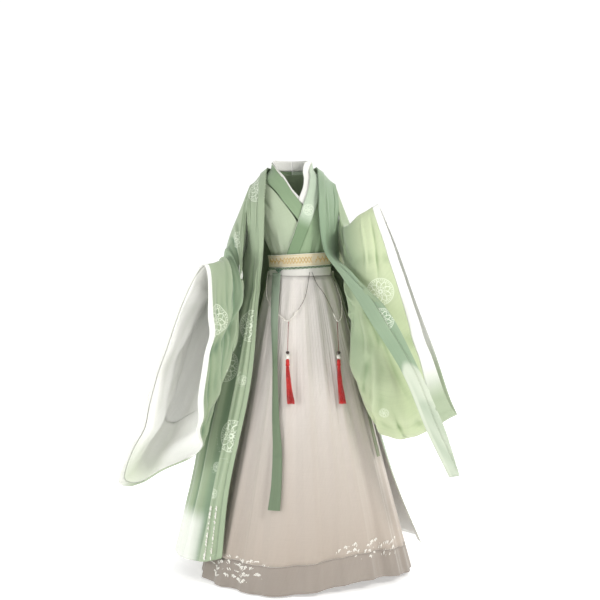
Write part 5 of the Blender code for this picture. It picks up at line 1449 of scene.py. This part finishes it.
sash_seams = [round_sash(z, 400, 0.0012) for z in (SASH_TOP - 0.004, SASH_BOTTOM + 0.004)]
sash_stitches = grown("sash_stitches", strung, sash_seams, "gold_thread",
                      {**stitch, "Spacing": 0.005, "Seed": 4})

# %% [markdown]
# White lace flowers are sewn along the lower skirt and up the front corner of the robe. A flower is five
# flat petals round a knot. The tree turns each one by chance, changes its size a little and scatters it
# up or down, so the border looks worked by hand.

# %% Tree for lace flowers
sizes = {"Spacing": 0.012, "Size": 0.005, "Scatter": 0.006, "Seed": 1}
lace, given, result, line = geometry_tree("lace_flowers", sizes)
make, work = tools(lace)
spaced = make("GeometryNodeCurveToPoints", {0: line, "Length": given["Spacing"]}, mode="LENGTH").outputs[0]
place = make("GeometryNodeInputPosition").outputs[0]
outwards = make("ShaderNodeVectorMath", {0: place, 1: (1.0, 1.0, 0.0)}, operation="MULTIPLY").outputs[0]
facing = make("FunctionNodeAlignRotationToVector", {"Vector": outwards}, axis="Z").outputs[0]
up = chance_in(lace, -1.0, 1.0, given["Seed"])
shift = make("ShaderNodeCombineXYZ", {2: work("MULTIPLY", up, given["Scatter"])}).outputs[0]
scattered = make("GeometryNodeSetPosition", {"Geometry": spaced, "Offset": shift}).outputs[0]
petal = make("GeometryNodeMeshUVSphere", {"Segments": 8, "Rings": 4, "Radius": 1.0}).outputs[0]
petal_places = make("GeometryNodeMeshCircle", {"Vertices": 5, "Radius": 0.62}).outputs[0]
petals = make("GeometryNodeInstanceOnPoints", {0: petal_places, 2: petal, 6: (0.42, 0.42, 0.09)}).outputs[0]
centre = make("GeometryNodeTransform", {"Geometry": petal, "Scale": (0.2, 0.2, 0.13)}).outputs[0]
joined = make("GeometryNodeJoinGeometry")
for part in (petals, centre):
    lace.links.new(part, joined.inputs[0])
flower = make("GeometryNodeRealizeInstances", {0: joined.outputs[0]}).outputs[0]
spin = chance_in(lace, 0.0, 2 * pi, given["Seed"])
spun = make("FunctionNodeAxisAngleToRotation", {0: (0.0, 0.0, 1.0), 1: spin}).outputs[0]
both_turns = make("FunctionNodeRotateRotation", {0: facing, 1: spun}, rotation_space="LOCAL").outputs[0]
grown_size = work("MULTIPLY", chance_in(lace, 0.7, 1.25, given["Seed"]), given["Size"])
flowers = make("GeometryNodeInstanceOnPoints", {0: scattered, 2: flower, 5: both_turns, 6: grown_size}).outputs[0]
end_tree(lace, result, flowers, given["Material"])
print("tree:", lace.name)

# %% Lace on the skirt and the robe
LACE_RUNS = (  # from and to, in degrees round the skirt, and how far down it
    (-160, -110, 0.912), (-156, -118, 0.932), (-158, -112, 0.952), (-150, -122, 0.972),
    (-72, -22, 0.892), (-66, -26, 0.91), (-60, -24, 0.928), (15, 80, 0.905), (30, 120, 0.925), (100, 165, 0.905),
)
lace_lines = []
for start, end, height in LACE_RUNS:
    share = np.linspace(start / 360, end / 360, 160)
    wave = 0.004 * np.sin(share * 120)
    lace_lines.append(raised(skirt_surface, 0.0012, 1)(share % 1.0, height + wave))
skirt_lace = grown("skirt_lace", lace, lace_lines, "lace_cotton",
                   {"Spacing": 0.0078, "Size": 0.0062, "Scatter": 0.009, "Seed": 4})
corner = robe_surfaces["right"][0]
robe_lace_lines = [line_on(corner, u, 0.002, u + 0.01, 0.046, 60, -1) for u in (0.33, 0.42)]
robe_lace = grown("robe_lace", lace, robe_lace_lines, "lace_cotton",
                  {"Spacing": 0.0090, "Size": 0.0052, "Scatter": 0.004, "Seed": 9})

# %% [markdown]
# Two strings of beads hang in swags over the front of the skirt. Near the waistband the beads are fine
# and dark, and lower down they are white and larger. A silk cord, a dark bead, a carved white bead and a
# red tassel hang from the lowest point of each swag.

# %% Bead swags
# Bead swags: place in x on the front of the skirt, and height
SWAG_RIGHT = (
    (0.06, -0.347), (0.046, -0.425), (0.025, -0.468), (-0.009, -0.51), (-0.036, -0.494), (-0.061, -0.472),
    (-0.08, -0.432), (-0.082, -0.39), (-0.078, -0.347),
)
SWAG_LEFT = (
    (0.068, -0.347), (0.084, -0.388), (0.106, -0.42), (0.13, -0.47), (0.15, -0.514), (0.164, -0.496),
    (0.163, -0.45), (0.15, -0.4), (0.138, -0.347),
)
SWAG_OUT = 0.0042


def swag(rows, start, end):
    """Part of a swag's line over the skirt, from one share of it to another."""
    x, z = smooth_line(np.array(rows), np.linspace(start, end, 90)).T
    return on_skirt(skirt_angle(x, z), z, SWAG_OUT, gathered=False)


SWAGS = (("right", SWAG_RIGHT, 0.27), ("left", SWAG_LEFT, 0.42))  # side, path, share where the beads change
for side, rows, change in SWAGS:
    beads = {  # which, from, to: spacing, length and width, and the seed of their sizes
        "dark": (0.0, change, {"Spacing": 0.0030, "Length": 0.0028, "Width": 0.0024}),
        "tan": (change * 0.45, change, {"Spacing": 0.0090, "Length": 0.0030, "Width": 0.0030}),
        "white": (change, 1.0, {"Spacing": 0.0050, "Length": 0.0047, "Width": 0.0052, "Seed": 5}),
    }
    for which, (start, end, values) in beads.items():
        cad_node = f"bead_swag_{side}" if which == "dark" else None
        path = swag(rows, start, end)
        grown(f"swag_{which}_beads_{side}", strung, [path], f"{which}_bead", values, cad_node)

# %% Turned beads and wrapped heads
TASSEL_LEAN, TASSEL_DROP, TASSEL_OUT, TASSEL_SWAY, TASSEL_LENGTH = 0.30, 0.098, 0.0105, 0.012, 0.128
# Profiles: radius and depth
DARK_BEAD = ((0.0008, 0.000), (0.0040, 0.0012), (0.0058, 0.0035), (0.0062, 0.0055), (0.0056, 0.0080),
             (0.004, 0.01), (0.0008, 0.011))
WHITE_BEAD = ((0.0010, 0.000), (0.0046, 0.0012), (0.0068, 0.0040), (0.0078, 0.0075), (0.0068, 0.0110),
              (0.0046, 0.0138), (0.001, 0.015))
TASSEL_HEAD = ((0.0008, 0.000), (0.0042, 0.0012), (0.0058, 0.004), (0.0064, 0.007), (0.0056, 0.012),
               (0.006, 0.016), (0.0072, 0.021), (0.001, 0.0215))
PROFILE_ROWS = 32


def down(depth):
    """So far down a tassel's axis, which leans to the front."""
    return np.asarray(depth, float)[..., None] * np.array((0, -TASSEL_LEAN, -1.0))


def circle(turn):
    """Points of a level circle of radius one at these angles."""
    return np.stack([np.cos(turn), np.sin(turn), np.zeros(len(turn))], axis=1)


def turned(profile, top, sides=32, flutes=0, carved=0.0):
    """A turned shape from its profile of radius and depth, with carved flutes round it where asked."""
    share = np.linspace(0, 1, PROFILE_ROWS + 1)
    radius, depth = smooth_line(np.array(profile), share).T
    turn = np.linspace(0, 2 * pi, sides, endpoint=False)
    wave = 1 - carved * (0.5 + 0.5 * np.cos(flutes * turn + 6 * share[:, None])) * np.sin(pi * share)[:, None]
    reach = np.maximum(radius, 0.0006)[:, None] * wave
    rings = (top + down(depth))[:, None] + reach[..., None] * circle(turn)
    i, j = (x.ravel() for x in np.meshgrid(np.arange(PROFILE_ROWS), np.arange(sides), indexing="ij"))
    this, after, beside = i * sides, (i + 1) * sides, (j + 1) % sides
    faces = np.stack([this + j, after + j, after + beside, this + beside], axis=1).tolist()
    last = [PROFILE_ROWS * sides + k for k in reversed(range(sides))]
    return rings.reshape(-1, 3), faces + [list(range(sides)), last]

# %% Tree for the tassel's strands
sizes = {"Count": 150, "Top": 0.0045, "Foot": 0.0125, "Thread": 0.0005, "Ragged": 0.006, "Seed": 3}
strands_tree, given, result, line = geometry_tree("tassel_strands", sizes)
make, work = tools(strands_tree)
line = make("GeometryNodeResampleCurve", {0: line, "Count": 12}, mode="COUNT").outputs[0]
starts = make("GeometryNodePoints", {"Count": given["Count"]}).outputs[0]
copies = make("GeometryNodeInstanceOnPoints", {0: starts, 2: line}).outputs[0]
copies = make("GeometryNodeRealizeInstances", {0: copies}).outputs[0]
which = make("GeometryNodeCurveOfPoint").outputs[0]
share = make("GeometryNodeSplineParameter").outputs[0]
angle = chance_in(strands_tree, 0.0, 2 * pi, given["Seed"], each=which)
far = work("SQRT", chance_in(strands_tree, 0.0, 1.0, work("ADD", given["Seed"], 11.0), each=which))
bundle = make("ShaderNodeMix", {0: share, 2: given["Top"], 3: given["Foot"]}).outputs[0]
reach = work("MULTIPLY", far, bundle)
drift = work("MULTIPLY", work("SINE", work("MULTIPLY_ADD", share, 9.0, work("MULTIPLY", angle, 5.0))), 0.0006)
east = work("MULTIPLY_ADD", work("COSINE", angle), reach, drift)
depth_share = work("MULTIPLY_ADD", share, -0.45, 1.0)
north = work("MULTIPLY", work("MULTIPLY", work("SINE", angle), reach), depth_share)
uneven_end = work("MULTIPLY", work("FRACT", work("MULTIPLY", angle, 7.3)), given["Ragged"])
offset = make("ShaderNodeCombineXYZ", {0: east, 1: north, 2: work("MULTIPLY", uneven_end, share)}).outputs[0]
moved = make("GeometryNodeSetPosition", {"Geometry": copies, "Offset": offset}).outputs[0]
profile_values = {"Resolution": 4, "Radius": given["Thread"]}
profile = make("GeometryNodeCurvePrimitiveCircle", profile_values, mode="RADIUS").outputs[0]
thread = {"Curve": moved, "Profile Curve": profile, "Fill Caps": True}
end_tree(strands_tree, result, make("GeometryNodeCurveToMesh", thread).outputs[0], given["Material"])
print("tree:", strands_tree.name)

# %% Tassels
TASSEL_TOPS = {"right": (-0.009, -0.510), "left": (0.150, -0.514)}  # the lowest places of the swags


def skirt_point(x, z, out):
    """One point in front of the skirt, standing off it."""
    z = np.array([z])
    return on_skirt(skirt_angle(x, z), z, out, gathered=False)[0]


for side, (x, z) in TASSEL_TOPS.items():
    top = skirt_point(x, z, 0.0030) - np.array((0, 0, 0.0030))
    foot = skirt_point(x, z - TASSEL_DROP, TASSEL_OUT)
    share = np.linspace(0, 1, 80)
    line = top + (foot - top) * share[:, None]
    coil = circle(2 * pi * 26 * share) * 0.0007
    cord = [tube(line + coil, 0.0008, 6), tube(line - coil, 0.0008, 6)]
    piece_from(f"tassel_cord_silk_{side}", cord, "cord_silk", f"tassel_cord_{side}")
    head = line[-1] + down(0.0012)
    piece_from(f"tassel_dark_bead_{side}", [turned(DARK_BEAD, head)], "dark_bead",
               f"tassel_bead_{side}")
    head = head + down(0.0114)
    piece_from(f"tassel_carved_bead_{side}", [turned(WHITE_BEAD, head, 64, 9, 0.10)],
               "white_bead", f"tassel_jade_{side}")
    head = head + down(0.0154)
    wraps = head + down(0.0105 + 0.0055 * share) + circle(2 * pi * 9 * share) * 0.0060
    piece_from(f"tassel_head_{side}", [turned(TASSEL_HEAD, head), tube(wraps, 0.0005, 6)],
               "red_silk")
    sway = np.array((TASSEL_SWAY, 0, 0)) * share[:, None] ** 1.5
    path = head + down(0.019 + (TASSEL_LENGTH + 0.001) * share) + sway
    grown(f"tassel_strands_{side}", strands_tree, [path], "red_silk", {"Seed": 3 + len(side)},
          f"tassel_{side}")

# %% [markdown]
# Each sheet of cloth is declared with the size of its cut, how it is held and what carries it. A width is
# measured along the gathers and folds at the widest row, and the area follows the real, shaped cut. The
# trims that are sewn on go with their cloth.

HELD = {
    "skirt_gathered": ("gathered", ["waistband"], [skirt_stitches, skirt_lace]),
    "skirt_hem": ("hung", ["skirt_gathered"], [hem_piping]),
    "waistband": ("folded", ["top_silk_front_left"], []),
    "sash": ("folded", ["waistband"], [embroidery, sash_piping, sash_stitches]),
    "top_silk_back": ("draped", ["sash"], []),
    "top_silk_front_right": ("draped", ["top_silk_back", "sash"], []),
    "top_silk_front_left": ("draped", ["top_silk_front_right", "sash"], []),
    "collar_silk_right": ("folded", ["top_silk_front_right"], []),
    "collar_silk_left": ("folded", ["top_silk_front_left"], [collar_piping]),
    "inner_collar_silk_right": ("folded", ["collar_silk_right"], []),
    "inner_collar_silk_left": ("folded", ["collar_silk_left"], []),
    "ribbon_tail_front": ("hung", ["belt_knot_silk"], []),
    "ribbon_tail_side": ("hung", ["belt_braid_dark"], []),
}
for side, trims in (("right", [robe_stitches, robe_lace]), ("left", [])):
    HELD[f"robe_silk_{side}"] = ("draped", ["top_silk_back", f"top_silk_front_{side}"], trims)
    HELD[f"front_band_silk_{side}"] = ("hung", [f"robe_silk_{side}"], [])
    HELD[f"sleeve_silk_{side}"] = ("hung", [f"robe_silk_{side}"], [cuff_stitches] if side == "right" else [])
    HELD[f"cuff_cotton_{side}"] = ("hung", [f"sleeve_silk_{side}"], [])
    HELD[f"lining_silk_{side}"] = ("hung", [f"sleeve_silk_{side}"], [])
for name, (piece, size, area) in made_of.items():
    held, rests_on, trims = HELD[name]
    print(f"{name}: {held}, cut {size[0]:.2f} by {size[1]:.2f} m, {area:.2f} m2")

# %% Finish
bpy.context.view_layer.update()
